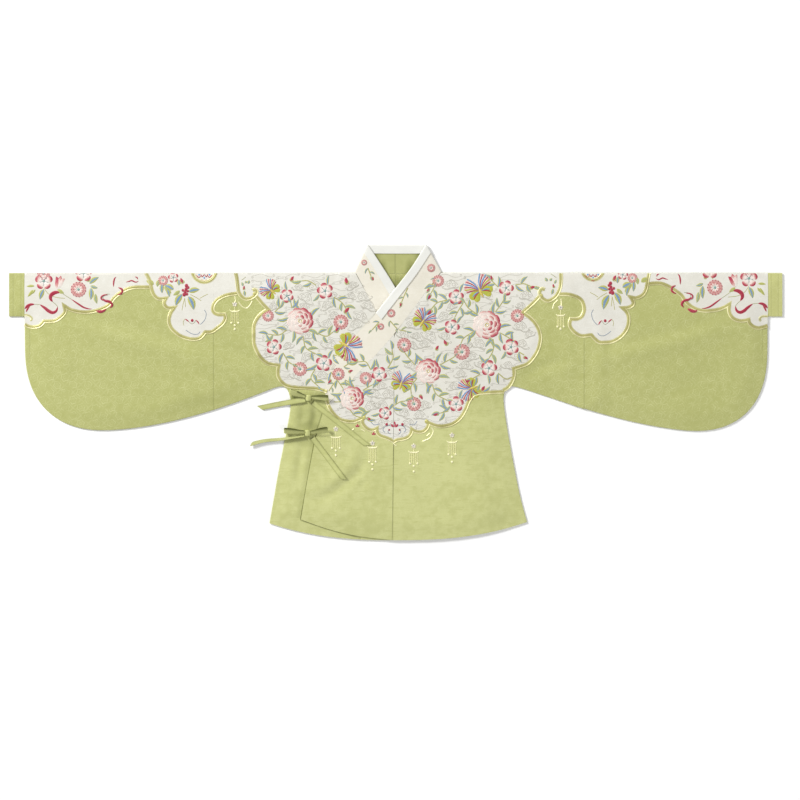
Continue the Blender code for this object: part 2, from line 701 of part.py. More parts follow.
def loop_ribbon(table, name, root, tip, opening, roll_degrees):
    """A bow's loop: a flat teardrop of tie that leaves the knot, turns at its tip and comes back."""
    root = np.array(root, float)
    tip = np.array(tip, float)
    reach = np.linalg.norm(tip - root)
    along = np.append(unit(tip - root), 0.0)
    square = np.array((-along[1], along[0], 0.0))
    if square[1] < 0:
        square = -square
    roll = math.radians(roll_degrees)
    across = square * math.cos(roll) + np.array((0.0, 0.0, math.sin(roll)))
    off = np.array((0.0, 0.0, math.cos(roll))) - square * math.sin(roll)
    turn = np.linspace(-math.pi / 2, math.pi / 2, 5)
    legs = np.linspace(0.0, 1.0, 6)[:-1]
    out = [(s * (reach - opening), -(0.9 + (opening - 0.9) * smoothstep(s * 1.4)), s) for s in legs]
    tip_turn = [(reach - opening + opening * math.cos(a), opening * math.sin(a), 1.0) for a in turn]
    back = [(s, -off_by, share) for s, off_by, share in out[::-1]]
    route = out + tip_turn + back
    widths = np.array([TIE_ROOT + (TIE_WIDTH - TIE_ROOT) * smoothstep(r[2] * 1.3) for r in route])
    centres = np.array([np.append(root, 0.0) + along * r[0] + off * r[1] for r in route])
    tips = centres[:, 2] - widths / 2 * math.sin(roll) - TIE_CLOTH / 2 * math.cos(roll)
    ground = table.read(table.cover(TIE_COVER), centres[:, :2])
    share = np.array([r[2] for r in route])
    rest = (ground + LAYER_GAP - tips).max()
    raised = ground[0] + LOOP_LIFT_AT_KNOT
    centres[:, 2] += rest * share + raised * (1 - share)
    sheet = ribbon_sheet(name, centres, np.tile(across, (len(route), 1)), widths)
    lift_whole(table, sheet, share)
    return sheet


def lift_whole(table, sheet, share):
    """Raise a loop's outer part as one until its lower side clears what lies below it."""
    near = table.spread(table.top, 1, np.maximum)
    weight = np.repeat(np.maximum(share, 0.25), 3)
    half = sheet.thickness / 2
    for _ in range(12):
        lows = sheet.z - half
        at = table.cell(sheet.xy)
        lack = (near[at[:, 0], at[:, 1]] + LEAST_GAP - lows).max()
        if lack < LEVEL:
            break
        sheet.z += weight * lack


def knot_mesh(table, centre):
    """A tight knot as a rounded block, as points and faces."""
    around, levels = 14, 8
    width, depth, height = KNOT_SIZE
    ground = table.read(table.cover(KNOT_COVER), np.array([centre]))[0]
    middle = ground + LAYER_GAP + height / 2

    def boxed(value):
        return math.copysign(abs(value) ** KNOT_SQUARENESS, value)

    points = [(centre[0], centre[1], middle - height / 2)]
    for level in range(1, levels):
        lift = -math.pi / 2 + math.pi * level / levels
        for turn in range(around):
            angle = 2 * math.pi * turn / around
            x = centre[0] + width / 2 * boxed(math.cos(lift)) * boxed(math.cos(angle))
            y = centre[1] + depth / 2 * boxed(math.cos(lift)) * boxed(math.sin(angle))
            points.append((x, y, middle + height / 2 * boxed(math.sin(lift))))
    points.append((centre[0], centre[1], middle + height / 2))
    faces = []
    for turn in range(around):
        after = (turn + 1) % around
        faces.append((0, 1 + after, 1 + turn))
        for level in range(levels - 2):
            low = 1 + level * around
            faces.append((low + turn, low + after, low + around + after, low + around + turn))
        high = 1 + (levels - 2) * around
        faces.append((high + turn, high + after, len(points) - 1))
    return points, faces


def wall_mesh(sheet):
    """The sheet as a closed wall: its two faces, joined round every open edge."""
    middle = np.column_stack([sheet.xy, sheet.z])
    half = sheet.thickness / 2
    points = np.vstack([middle + sheet.normal * half, middle - sheet.normal * half])
    count = len(middle)
    faces = [tuple(cell) for cell in sheet.cells]
    faces += [tuple(i + count for i in cell[::-1]) for cell in sheet.cells]
    uses = {}
    for cell in sheet.cells:
        for a, b in zip(cell, cell[1:] + cell[:1]):
            uses.setdefault(frozenset((a, b)), []).append((a, b))
    for ways in uses.values():
        if len(ways) == 1:
            a, b = ways[0]
            faces.append((b, a, a + count, b + count))
    return points, faces


def make_material(name, look):
    colour, roughness = look
    material = bpy.data.materials.new(name)
    material.use_nodes = True
    shader = material.node_tree.nodes["Principled BSDF"]
    shader.inputs["Base Color"].default_value = colour
    shader.inputs["Roughness"].default_value = roughness
    shader.inputs["Metallic"].default_value = 0.0
    material.diffuse_color = colour
    return material


def make_object(name, points, faces, look):
    shifted = (np.asarray(points, float) + (0.0, Y_ORIGIN, 0.0)) * MM
    mesh = bpy.data.meshes.new(name)
    mesh.from_pydata(shifted.tolist(), [], [[int(i) for i in face] for face in faces])
    shape = bmesh.new()
    shape.from_mesh(mesh)
    bmesh.ops.recalc_face_normals(shape, faces=shape.faces)
    shape.to_mesh(mesh)
    shape.free()
    mesh.shade_smooth()
    mesh.set_sharp_from_angle(angle=math.radians(50))
    mesh.materials.append(make_material(name, look))
    thing = bpy.data.objects.new(name, mesh)
    bpy.context.collection.objects.link(thing)
    return thing


def make_cloth(sheet, look):
    points, faces = wall_mesh(sheet)
    return make_object(sheet.name, points, faces, look)


def lay_garment():
    """Lay the layers in order, from the back on the table to the outer front on top."""
    table = Table()
    body_right = body_sheet("body_right", -1, "inner")
    body_left = body_sheet("body_left", 1, "outer")
    sleeves = [sleeve_sheet("sleeve_right", -1), sleeve_sheet("sleeve_left", 1)]
    cuffs = [cuff_sheet("cuff_right", -1), cuff_sheet("cuff_left", 1)]
    overlap_inner = overlap_sheet("overlap_inner", -1, "inner")
    overlap_outer = overlap_sheet("overlap_outer", 1, "outer")
    collar = collar_sheet()
    tubes = [body_right, body_left] + sleeves + cuffs
    for sheet in tubes:
        sheet.z[np.ravel(sheet.back)] = CLOTH / 2
        table.stamp(sheet, sheet.back)
    natural = natural_heights(table)
    collar.z[np.ravel(collar.back)] = collar.below[np.ravel(collar.back)]
    table.stamp(collar, collar.back, collar.below)
    cover = table.cover()
    under = [(sheet, sheet.front) for sheet in [body_right, overlap_inner] + sleeves + cuffs]
    for sheet, part in under + [(collar, collar.inner)]:
        table.lay(sheet, part, cover, natural)
    for sheet, part in under:
        table.stamp(sheet, part)
    table.stamp(collar, collar.inner, collar.below)
    cover = table.cover()
    over = [(body_left, body_left.front), (overlap_outer, overlap_outer.front)]
    for sheet, part in over + [(collar, collar.outer)]:
        table.lay(sheet, part, cover, natural)
    for sheet, part in over:
        table.stamp(sheet, part)
    table.stamp(collar, collar.outer, collar.below)
    for sheet in tubes + [collar]:
        sheet.close_folds()
    return table, tubes, [overlap_inner, overlap_outer], collar


def lay_ties(table):
    ties = []
    for name, start, end in STEMS:
        ties.append(flat_ribbon(table, name, (start, end)))
    for sheet in ties:
        table.stamp(sheet, sheet.front)
    for name, route, rolls, widths, slant in TAILS:
        sheet = flat_ribbon(table, name, route, rolls, widths, slant)
        table.stamp(sheet, sheet.front)
        ties.append(sheet)
    for name, root, tip, opening, roll in LOOPS:
        ties.append(loop_ribbon(table, name, root, tip, opening, roll))
    return ties


def build():
    for thing in list(bpy.data.objects):
        bpy.data.objects.remove(thing, do_unlink=True)
    table, tubes, overlaps, collar = lay_garment()
    for sheet in tubes + overlaps:
        make_cloth(sheet, GREEN)
    make_cloth(collar, IVORY)
    make_cloth(guard_sheet(collar), WHITE)
    knots = {which: knot_mesh(table, centre) for which, centre in KNOT.items()}
    for sheet in lay_ties(table):
        make_cloth(sheet, GREEN)
    for which, (points, faces) in knots.items():
        make_object(f"tie_{which}_knot", points, faces, GREEN)


build()
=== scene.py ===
# %% [markdown]
# # A cross-collar jacket laid flat
# The jacket lies on its back with the front upwards. Every cut piece is already there as a plain
# solid at its real size. This notebook gives each one its cloth: soft creases, a damask weave, an
# ivory cloud collar with gilt outlines, stitched flowers, seams and tied bows.
# Everything starts by loading those solids, which stay fixed.

# %% Load the fixed frame
import json
import math
from functools import partialmethod

import bmesh
import bpy
import numpy as np
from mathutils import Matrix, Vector
from mathutils.bvhtree import BVHTree
from mathutils.geometry import delaunay_2d_cdt

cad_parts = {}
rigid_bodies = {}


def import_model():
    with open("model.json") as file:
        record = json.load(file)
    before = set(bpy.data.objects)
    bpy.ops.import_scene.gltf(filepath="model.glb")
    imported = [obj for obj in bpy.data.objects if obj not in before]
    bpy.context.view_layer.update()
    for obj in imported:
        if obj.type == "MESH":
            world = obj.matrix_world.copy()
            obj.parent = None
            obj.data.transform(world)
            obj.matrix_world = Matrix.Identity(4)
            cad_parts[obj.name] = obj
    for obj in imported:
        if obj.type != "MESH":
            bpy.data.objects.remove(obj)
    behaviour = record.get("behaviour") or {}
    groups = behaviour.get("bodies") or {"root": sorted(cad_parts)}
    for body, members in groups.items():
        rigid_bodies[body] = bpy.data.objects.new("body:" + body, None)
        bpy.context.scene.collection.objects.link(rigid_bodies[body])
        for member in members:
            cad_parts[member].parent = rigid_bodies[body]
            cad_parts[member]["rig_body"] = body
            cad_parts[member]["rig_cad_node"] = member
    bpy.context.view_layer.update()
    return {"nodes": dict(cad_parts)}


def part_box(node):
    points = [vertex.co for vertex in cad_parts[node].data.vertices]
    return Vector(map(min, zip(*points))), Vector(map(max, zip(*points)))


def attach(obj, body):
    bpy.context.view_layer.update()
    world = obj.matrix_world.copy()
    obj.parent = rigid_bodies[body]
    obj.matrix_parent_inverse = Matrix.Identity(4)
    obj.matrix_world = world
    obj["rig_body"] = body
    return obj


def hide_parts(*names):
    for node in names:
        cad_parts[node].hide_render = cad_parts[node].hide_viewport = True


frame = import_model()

# %% [markdown]
# ## The pattern cutter's frame
# A cutter measures a garment from the centre line and from the shoulder fold. The tables below do
# the same, in millimetres: x towards the wearer's left, y up from the fold, so that most y are
# negative. One helper turns them into the frame's metres.

# %% Millimetres from the centre line and the shoulder fold
MM = 0.001
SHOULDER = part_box("sleeve_right")[1].y
SLEEVE_SEAM = {-1: -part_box("body_right")[0].x / MM, 1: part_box("body_left")[1].x / MM}
CUFF_SEAM = -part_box("sleeve_right")[0].x / MM


def metres(points):
    """Plan points in millimetres to metres in the frame."""
    return np.asarray(points, float) * MM + (0.0, SHOULDER)


def millimetres(points):
    """Plan points in metres to the cutter's millimetres."""
    return (np.asarray(points, float)[..., :2] - (0.0, SHOULDER)) / MM


def smoothstep(value):
    t = np.clip(value, 0.0, 1.0)
    return t * t * (3.0 - 2.0 * t)


print("sleeve seams at", SLEEVE_SEAM, "cuff seams at", round(CUFF_SEAM, 1))

# %% [markdown]
# ## From a solid to a shell of cloth
# Each solid is a wall of cloth made of a few large cells. A copy of it is merged, its triangles are
# paired into quads again, its cut edges are creased so that they stay crisp, and a Subdivision
# Surface makes it fine enough to hold soft folds. Remeshing would lose the thin wall, so the
# solid's own cells are kept.

# %% Helpers for pieces and their points
def select_only(thing):
    bpy.ops.object.select_all(action="DESELECT")
    thing.select_set(True)
    bpy.context.view_layer.objects.active = thing


def in_scene(thing):
    bpy.context.scene.collection.objects.link(thing)
    return thing


def twin_of(thing, name):
    """A copy with a mesh of its own."""
    twin = in_scene(thing.copy())
    twin.data = thing.data.copy()
    twin.name = name
    return twin


def points_of(thing):
    points = np.empty(len(thing.data.vertices) * 3)
    thing.data.vertices.foreach_get("co", points)
    return points.reshape(-1, 3)


def set_points(thing, points):
    thing.data.vertices.foreach_set("co", np.ascontiguousarray(points).ravel())
    thing.data.update()


# %% Make the ten panels
RIM_ANGLE = math.radians(70)
MERGE_WITHIN = 0.000005
TUBES = ("body_right", "body_left", "sleeve_right", "sleeve_left", "cuff_right", "cuff_left")
PANELS = TUBES + ("overlap_inner", "overlap_outer", "collar", "collar_guard")


def crease_rims(thing):
    """Keep cut edges crisp: full crease on every edge that turns sharply."""
    shape = bmesh.new()
    shape.from_mesh(thing.data)
    crease = shape.edges.layers.float.new("crease_edge")
    for edge in shape.edges:
        if edge.calc_face_angle(0.0) > RIM_ANGLE:
            edge[crease] = 1.0
    shape.to_mesh(thing.data)
    shape.free()


def shell_of(node, levels):
    """A fine copy of a node's solid, to be creased and dressed."""
    shell = twin_of(frame["nodes"][node], node + "_cloth")
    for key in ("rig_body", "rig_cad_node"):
        del shell[key]
    shell.parent = None
    shell.data.materials.clear()
    select_only(shell)
    bpy.ops.object.mode_set(mode="EDIT")
    bpy.ops.mesh.select_all(action="SELECT")
    bpy.ops.mesh.remove_doubles(threshold=MERGE_WITHIN)
    bpy.ops.mesh.tris_convert_to_quads()
    bpy.ops.object.mode_set(mode="OBJECT")
    bpy.ops.mesh.customdata_custom_splitnormals_clear()
    crease_rims(shell)
    fine = shell.modifiers.new("fine", "SUBSURF")
    fine.levels = fine.render_levels = levels
    bpy.ops.object.modifier_apply(modifier="fine")
    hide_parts(node)
    return shell


shells = {node: shell_of(node, 2 if "cuff" in node else 3) for node in PANELS}
print("panel triangles:", {node: 2 * len(shell.data.polygons) for node, shell in shells.items()})

# %% [markdown]
# ## Soft creases
# Cloth that was folded and then laid out keeps a few soft creases, and it lies a little hollow away
# from its edges. One field of heights holds them all, as gentle ridges and troughs that are
# uneven in length, depth and spacing. Every layer of the front is lifted by the same field, so the
# layers stay nested. A cloth simulation was considered, but cloth lying on a table barely moves.

# %% How far inside the outline a point lies
CHART_STEP = 4.0
CHART_LOW = np.array((-948.0, -652.0))
CHART_SIZE = (475, 184)
LAST_CELL = 1.001
EDGE_FADE = 48.0
# rays are cast down from this height in metres
ABOVE = 0.1
DOWN = Vector((0.0, 0.0, -1.0))


def read_chart(chart, plan):
    """A chart's value at plan points, in millimetres."""
    at = np.clip((plan - CHART_LOW) / CHART_STEP, 0, np.array(chart.shape) - LAST_CELL)
    cell = at.astype(int)
    (x, y), (u, v) = np.moveaxis(cell, -1, 0), np.moveaxis(at - cell, -1, 0)
    near, far = (chart[row, y] * (1 - v) + chart[row, y + 1] * v for row in (x, x + 1))
    return near * (1 - u) + far * u


def tree_of(things):
    """One search tree over the faces of several pieces."""
    points, faces, first = [], [], 0
    for thing in things:
        points.append(points_of(thing))
        faces += [[first + v for v in face.vertices] for face in thing.data.polygons]
        first += len(points[-1])
    return BVHTree.FromPolygons(np.vstack(points).tolist(), faces)


def edge_chart():
    """One well inside the outline, nought on it."""
    tree = tree_of([shells[node] for node in TUBES])
    steps = np.stack(np.meshgrid(*map(np.arange, CHART_SIZE), indexing="ij"), axis=-1)
    spots = metres(CHART_LOW + steps.reshape(-1, 2) * CHART_STEP)
    hits = [tree.ray_cast(Vector((x, y, ABOVE)), DOWN)[0] for x, y in spots]
    solid = np.array([hit is not None for hit in hits], float).reshape(CHART_SIZE)
    depth = np.zeros(CHART_SIZE)
    rounds = int(EDGE_FADE / CHART_STEP)
    for turn in range(rounds):
        depth += solid
        moved = [np.roll(solid, way, axis) for axis in (0, 1) for way in (-1, 1)]
        if turn % 2:
            moved += [np.roll(solid, (a, b), (0, 1)) for a in (-1, 1) for b in (-1, 1)]
        solid = np.minimum.reduce([solid] + moved)
    share = smoothstep(depth / rounds)
    for axis in (0, 1):
        share = (np.roll(share, 1, axis) + share + np.roll(share, -1, axis)) / 3
    return share


edge_share = edge_chart()
print("chart cells inside the outline:", int((edge_share > 0.5).sum()))

# %% The creases
# points along each one, height (troughs are negative) and half width
CREASES = (
    (((-810, -88), (-640, -132), (-465, -186)), -1.7, 21),
    (((-800, -122), (-640, -160), (-477, -203), (-414, -222), (-318, -268)), 2, 24),
    (((-760, -250), (-640, -292), (-520, -300)), -1.1, 30),
    (((-600, -340), (-500, -300), (-390, -292)), 1.2, 26),
    (((-560, -96), (-520, -170), (-505, -240)), -1, 22),
    (((-868, -150), (-800, -205), (-770, -262)), 1.1, 20),
    (((-285, -262), (-330, -214), (-405, -176)), -1.5, 15),
    (((-276, -238), (-300, -180), (-352, -128)), 1.3, 17),
    (((471, -190), (600, -158), (695, -135), (798, -94)), -1.7, 20),
    (((396, -230), (480, -212), (570, -188), (736, -150), (840, -120)), 2.1, 25),
    (((530, -318), (640, -300), (770, -236)), -1.2, 28),
    (((400, -285), (470, -300), (600, -352)), 1.3, 24),
    (((535, -110), (512, -180), (520, -250)), -0.9, 20),
    (((288, -262), (350, -225), (430, -205)), -1.5, 15),
    (((282, -236), (320, -170), (350, -130)), 1.2, 17),
    (((235, -262), (190, -200), (165, -120)), -0.9, 20),
    (((-222, -546), (-181, -541), (-154, -529), (-94, -484), (-66, -430)), -2.1, 13),
    (((-205, -520), (-150, -500), (-105, -455), (-88, -410)), 1.7, 17),
    (((-88, -514), (-70, -500)), -1.5, 12), (((-190, -590), (-120, -575), (-40, -600)), 1, 22),
    (((92, -440), (170, -515), (262, -590)), 1.9, 26),
    (((150, -400), (215, -470), (268, -560)), -1.6, 22),
    (((30, -520), (95, -575), (150, -610)), -1.1, 24),
    (((225, -330), (262, -420), (280, -480)), 1.1, 18),
    (((-246, -306), (-243, -335), (-250, -372)), 1.9, 7),
    (((-229, -308), (-226, -340), (-232, -374)), -2, 6),
    (((-212, -312), (-207, -340), (-214, -372)), 1.7, 6.5),
    (((-198, -312), (-194, -344), (-203, -374)), -1.3, 5),
    (((-246, -402), (-254, -450), (-262, -520)), 1.2, 11),
    (((-226, -404), (-232, -452), (-240, -500)), -1.4, 9),
    (((-250, -280), (-222, -272), (-190, -280)), -1.3, 8),
    (((-182, -304), (-140, -330), (-96, -372)), 1, 11),
    (((-186, -388), (-150, -402), (-110, -440)), 1.1, 10),
    (((-190, -392), (-176, -440), (-150, -480)), -1.1, 9),
    (((-131, -376), (-100, -400), (-78, -416), (-68, -416)), -1.4, 4),
    (((-106, -379), (-80, -398), (-62, -410)), -1.2, 4),
)
# soft ridges of the back
BACK_RIDGES = (
    (((-150, -90), (-175, -260), (-130, -420)), 0.9, 24),
    (((170, -120), (140, -300), (190, -470)), 0.8, 28),
    (((-60, -380), (40, -450), (150, -560)), 0.7, 22),
    (((-780, -90), (-620, -170), (-480, -210)), 0.8, 26),
    (((490, -180), (640, -170), (800, -110)), 0.8, 24),
    (((-700, -300), (-560, -290), (-420, -240)), 0.6, 28),
    (((700, -290), (600, -320), (450, -260)), 0.7, 26),
)
# share of a path over which it fades out at each end, and the least share of a crease
CREASE_ENDS = (0.35, 0.25)
RIDGE_ENDS = (0.3, 0.0)


def along_path(plan, path):
    """Distance of plan points from a path, and how far along it they are, as a share."""
    path = np.asarray(path, float)
    runs = np.linalg.norm(np.diff(path, axis=0), axis=1)
    best = np.full(len(plan), np.inf)
    share = np.zeros(len(plan))
    done = 0.0
    for start, end, run in zip(path, path[1:], runs):
        way = (end - start) / run
        reach = np.clip((plan - start) @ way, 0.0, run)
        gap = np.linalg.norm(plan - (start + reach[:, None] * way), axis=1)
        nearer = gap < best
        share[nearer] = ((done + reach) / runs.sum())[nearer]
        best = np.minimum(best, gap)
        done += run
    return best, share


def ridges(plan, rows, fade, least):
    """Height of ridges and troughs that fade out towards their ends, in millimetres."""
    lift = np.zeros(len(plan))
    for path, height, half_width in rows:
        low, high = (pick(path, axis=0) for pick in (np.min, np.max))
        near = ((plan > low - 3 * half_width) & (plan < high + 3 * half_width)).all(axis=1)
        gap, share = along_path(plan[near], path)
        ends = smoothstep(share / fade) * smoothstep((1 - share) / fade) * (1 - least) + least
        lift[near] += height * ends * np.exp(-((gap / half_width) ** 2))
    return lift


# %% Lift the front layers, and give the back a few soft ridges of its own
HOLLOW = 2.2
LOWEST = -0.2
# y where the flat neck starts and is full, and how far it reaches from the middle and fades
NECK_FLAT = (-30.0, -75.0)
NECK_SIDE = (90.0, 40.0)
# heights below which a point belongs to the back, and above which it belongs to the front
BACK_TOP = 1.25
FRONT_LOW = 1.6


def crease_height(plan):
    """The lift of the front's layers at plan points, in millimetres."""
    lift = HOLLOW + ridges(plan, CREASES, *CREASE_ENDS)
    neck = 1 - smoothstep((plan[:, 1] - NECK_FLAT[1]) / (NECK_FLAT[0] - NECK_FLAT[1]))
    beside = smoothstep((np.abs(plan[:, 0]) - NECK_SIDE[0]) / NECK_SIDE[1])
    return np.maximum(lift, LOWEST) * read_chart(edge_share, plan) * np.maximum(neck, beside)


def lay_in_creases(thing):
    points = points_of(thing)
    plan = millimetres(points)
    front = smoothstep((points[:, 2] / MM - BACK_TOP) / (FRONT_LOW - BACK_TOP))
    back = ridges(plan, BACK_RIDGES, *RIDGE_ENDS) * read_chart(edge_share, plan)
    lift = front * crease_height(plan) + (1 - front) * back
    points[:, 2] += lift * MM
    set_points(thing, points)
    return round(float(lift.max()), 2)


# the sewn edges are 0.3 mm apart in the solids, and keep a fifth of that
SEAM_GAP = 0.3
SEAM_LEFT = 0.2
# points higher than this lie on the front, not on the back, in millimetres
FRONT_ABOVE = 1.7
# the sleeve is brought level from this height up, over so much height and so far from the seam
LEVEL_FROM = 1.2
LEVEL_OVER = 1.8
SEAM_FADE = 70.0
RIM_REACH = 1.0
# the collar's lower corner lies just inside the gilt edge
COLLAR_CORNER = (-165.2, -300.0)


def draw_seams_in(thing):
    """Bring the cut edges at the sleeve and cuff seams nearly together."""
    points = points_of(thing)
    for way, seam in (*SLEEVE_SEAM.items(), (-1, CUFF_SEAM), (1, CUFF_SEAM)):
        off = way * points[:, 0] / MM - seam - SEAM_GAP / 2
        near = np.abs(off) < SEAM_GAP
        points[near, 0] -= way * off[near] * (1 - SEAM_LEFT) * MM
    set_points(thing, points)


def rim_heights(shell, way):
    """Heights of a panel's upper side along the sleeve seam, by y."""
    points = points_of(shell) / MM
    off = way * points[:, 0] - SLEEVE_SEAM[way] - SEAM_GAP / 2
    rim = points[(np.abs(off) < SEAM_GAP) & (points[:, 2] > FRONT_ABOVE)]
    places = np.unique(rim[:, 1].round(1))
    return places, np.array([rim[np.abs(rim[:, 1] - y) < RIM_REACH, 2].max() for y in places])


def meet_at_seam(sleeve, body, way):
    """Bring the sleeve's front level with the body's, fading out over the sleeve."""
    points = points_of(sleeve)
    x, y, z = points.T / MM
    step = np.interp(y, *rim_heights(body, way)) - np.interp(y, *rim_heights(sleeve, way))
    fade = 1.0 - smoothstep((way * x - SLEEVE_SEAM[way]) / SEAM_FADE)
    points[:, 2] += step * fade * smoothstep((z - LEVEL_FROM) / LEVEL_OVER) * MM
    set_points(sleeve, points)
    return round(float(np.abs(step).max()), 2)


collar = points_of(shells["collar"])
low = collar[:, 1] < SHOULDER + COLLAR_CORNER[1] * MM
collar[low, 0] = np.maximum(collar[low, 0], COLLAR_CORNER[0] * MM)
set_points(shells["collar"], collar)
for node, shell in shells.items():
    draw_seams_in(shell)
    print(node, "lifted up to", lay_in_creases(shell), "mm")
for side, way in (("right", -1), ("left", 1)):
    step = meet_at_seam(shells["sleeve_" + side], shells["body_" + side], way)
    print(side, "sleeve brought level over", step, "mm")

# %% [markdown]
# ## Keeping nested layers apart
# Subdivision draws each surface in a little, and nested layers with unlike cells may then touch.
# Where a layer comes nearer than a hair to the one inside it, its points are moved out along the
# inner layer's normal.

# %% Settle the guard and the outer overlap
# the least gap, how far the inner layer is looked for, and up to which gap points are moved
HAIR = 0.00012
SETTLE_REACH = 0.0012
SETTLE_GAP = 0.0006


def settle(thing, inner):
    """Move points of a layer that lie in or on the inner layer out of it."""
    tree = tree_of([inner])
    points = points_of(thing)
    moved = 0
    for i, point in enumerate(points):
        near, normal, _, gap = tree.find_nearest(Vector(point), SETTLE_REACH)
        if near is None:
            continue
        side = (Vector(point) - near).dot(normal)
        if side < HAIR and gap < SETTLE_GAP:
            points[i] = point + np.array(normal) * (HAIR - side)
            moved += 1
    set_points(thing, points)
    return moved


for outer, inner in (("collar_guard", "collar"), ("overlap_outer", "body_right")):
    print(outer, "points settled:", settle(shells[outer], shells[inner]))

# %% [markdown]
# ## The ties and their bows
# Each tie is a strip folded in and sewn flat. The solids give its stem, loop and tail, and the
# knot between them. Subdivision rounds their cells, and the same crease field lifts them with the
# cloth they lie on. A real knot shows the strip crossing over, so each knot gets a wrapped turn, a
# narrower copy of the block that stands a little out of it.

# %% Make the ties
TIES = tuple(
    f"tie_{bow}_{part}_{side}"
    for bow in ("upper", "lower")
    for part in ("stem", "loop", "tail")
    for side in ("right", "left")
)
KNOTS = ("tie_upper_knot", "tie_lower_knot")
# the turn's width as a share of the knot's, how far it stands round it, and its lift in mm
WRAP = (0.5, 1.06, 0.45)
# painted shade inside a loop: how far up the loop it starts and is full, and from where along it
LOOP_SHADES = {
    "tie_upper_loop_right": (0.1, 0.5, 0.4), "tie_upper_loop_left": (-0.1, 0.25, 0.0),
    "tie_lower_loop_right": (0.05, 0.4, 0.0), "tie_lower_loop_left": (0.0, 0.35, 0.0),
}
# strips that stand on their edge and so get the painted shade of a darker side, and how dark it is
TURNED_STRIP_SHADES = {"tie_lower_tail_right": 0.75, "tie_upper_tail_right": 0.2}
# parts of a strip that are measured, and where the painted shade at its edges starts and how wide it
# fades
STRIP_PARTS = 8
EDGE_SHADE_FROM = 0.45
EDGE_SHADE_OVER = 0.4
LOOP_SHADE_OVER = 0.1


def wrapped_turn(knot):
    """A narrow band round a knot, made from a copy of the knot."""
    band = twin_of(knot, knot.name.replace("_cloth", "_turn"))
    points = points_of(band)
    middle = (points.min(axis=0) + points.max(axis=0)) / 2
    points = middle + (points - middle) * (WRAP[0], WRAP[1], 1.0)
    points[:, 2] += np.where(points[:, 2] > middle[2], WRAP[2] * MM, 0.0)
    set_points(band, points)
    return band


def mark_strip(tie, hollow, turned):
    """Keep how near each point lies to the strip's edges and to the inside of a loop, as masks of
    painted shade.
    """
    plan = points_of(tie)[:, :2]
    plan = plan - plan.mean(axis=0)
    way = np.linalg.svd(plan, full_matrices=False)[2][0]
    way = way * np.sign(way[0])
    u, v = plan @ way, plan @ (-way[1], way[0])
    bins = np.linspace(u.min(), u.max(), STRIP_PARTS + 1)
    home = np.digitize(u, bins[1:-1])
    middles = (bins[1:] + bins[:-1]) / 2
    low, high = (
        np.interp(u, middles, [pick(v[home == part]) for part in range(STRIP_PARTS)])
        for pick in (np.min, np.max)
    )
    share = 2 * (v - low) / (high - low) - 1
    edge = smoothstep((np.abs(share) - EDGE_SHADE_FROM) / EDGE_SHADE_OVER) * (hollow is None)
    dark = np.zeros(len(u))
    if hollow is not None:
        start, full, reach = hollow
        dark = smoothstep((share - start) / (full - start))
        along = (u - u.min()) / np.ptp(u)
        dark *= smoothstep((along - reach) / LOOP_SHADE_OVER + (reach == 0))
    for name, values in (("edge", np.maximum(edge, turned)), ("hollow", dark)):
        mark = tie.data.attributes.new(name, "FLOAT", "POINT")
        mark.data.foreach_set("value", values.astype(np.float32))


ties = {node: shell_of(node, 2) for node in TIES + KNOTS}
for tie in ties.values():
    lay_in_creases(tie)
for node in TIES:
    mark_strip(ties[node], LOOP_SHADES.get(node), TURNED_STRIP_SHADES.get(node, 0.0))
knot_turns = [wrapped_turn(ties[node]) for node in KNOTS]
print("tie triangles:", sum(2 * len(tie.data.polygons) for tie in ties.values()))

# %% [markdown]
# ## Building materials from nodes
# The finishes are all node materials that read Object coordinates, because the pieces lie flat and
# never turn. A small class adds nodes and joins them, and another lets a node's output be used in
# plain arithmetic, each sign adding a Math node, so that a pattern reads as a short formula.
# Colours are written as they look on screen, from 0 to 255, and turned into light values.

# %% Two classes that wire shader nodes
def dye(red, green, blue):
    """A screen colour as linear light values, by the usual curve of screens."""
    shares = np.array((red, green, blue)) / 255.0
    linear = np.where(shares <= 0.04045, shares / 12.92, ((shares + 0.055) / 1.055) ** 2.4)
    return (*[float(value) for value in linear], 1.0)


def darker(colour, share):
    return (*[share * value for value in colour[:3]], 1.0)


class Step:
    """The output of a node. Arithmetic with it adds Math nodes."""

    def __init__(self, wires, node, output=0):
        self.wires, self.socket = wires, node.outputs[output]

    def step(self, operation, *others, **settings):
        sockets = dict(enumerate((self, *others)))
        return self.wires.add("Math", 0, sockets, operation=operation, **settings)

    def ramp(self, low, high):
        """Nought at low, one at high, smooth between."""
        sockets = {"Value": self, "From Min": low, "From Max": high}
        return self.wires.add("MapRange", "Result", sockets, interpolation_type="SMOOTHSTEP")

    __add__ = partialmethod(step, "ADD")
    __sub__ = partialmethod(step, "SUBTRACT")
    __mul__ = partialmethod(step, "MULTIPLY")
    __truediv__ = partialmethod(step, "DIVIDE")
    __abs__ = partialmethod(step, "ABSOLUTE")


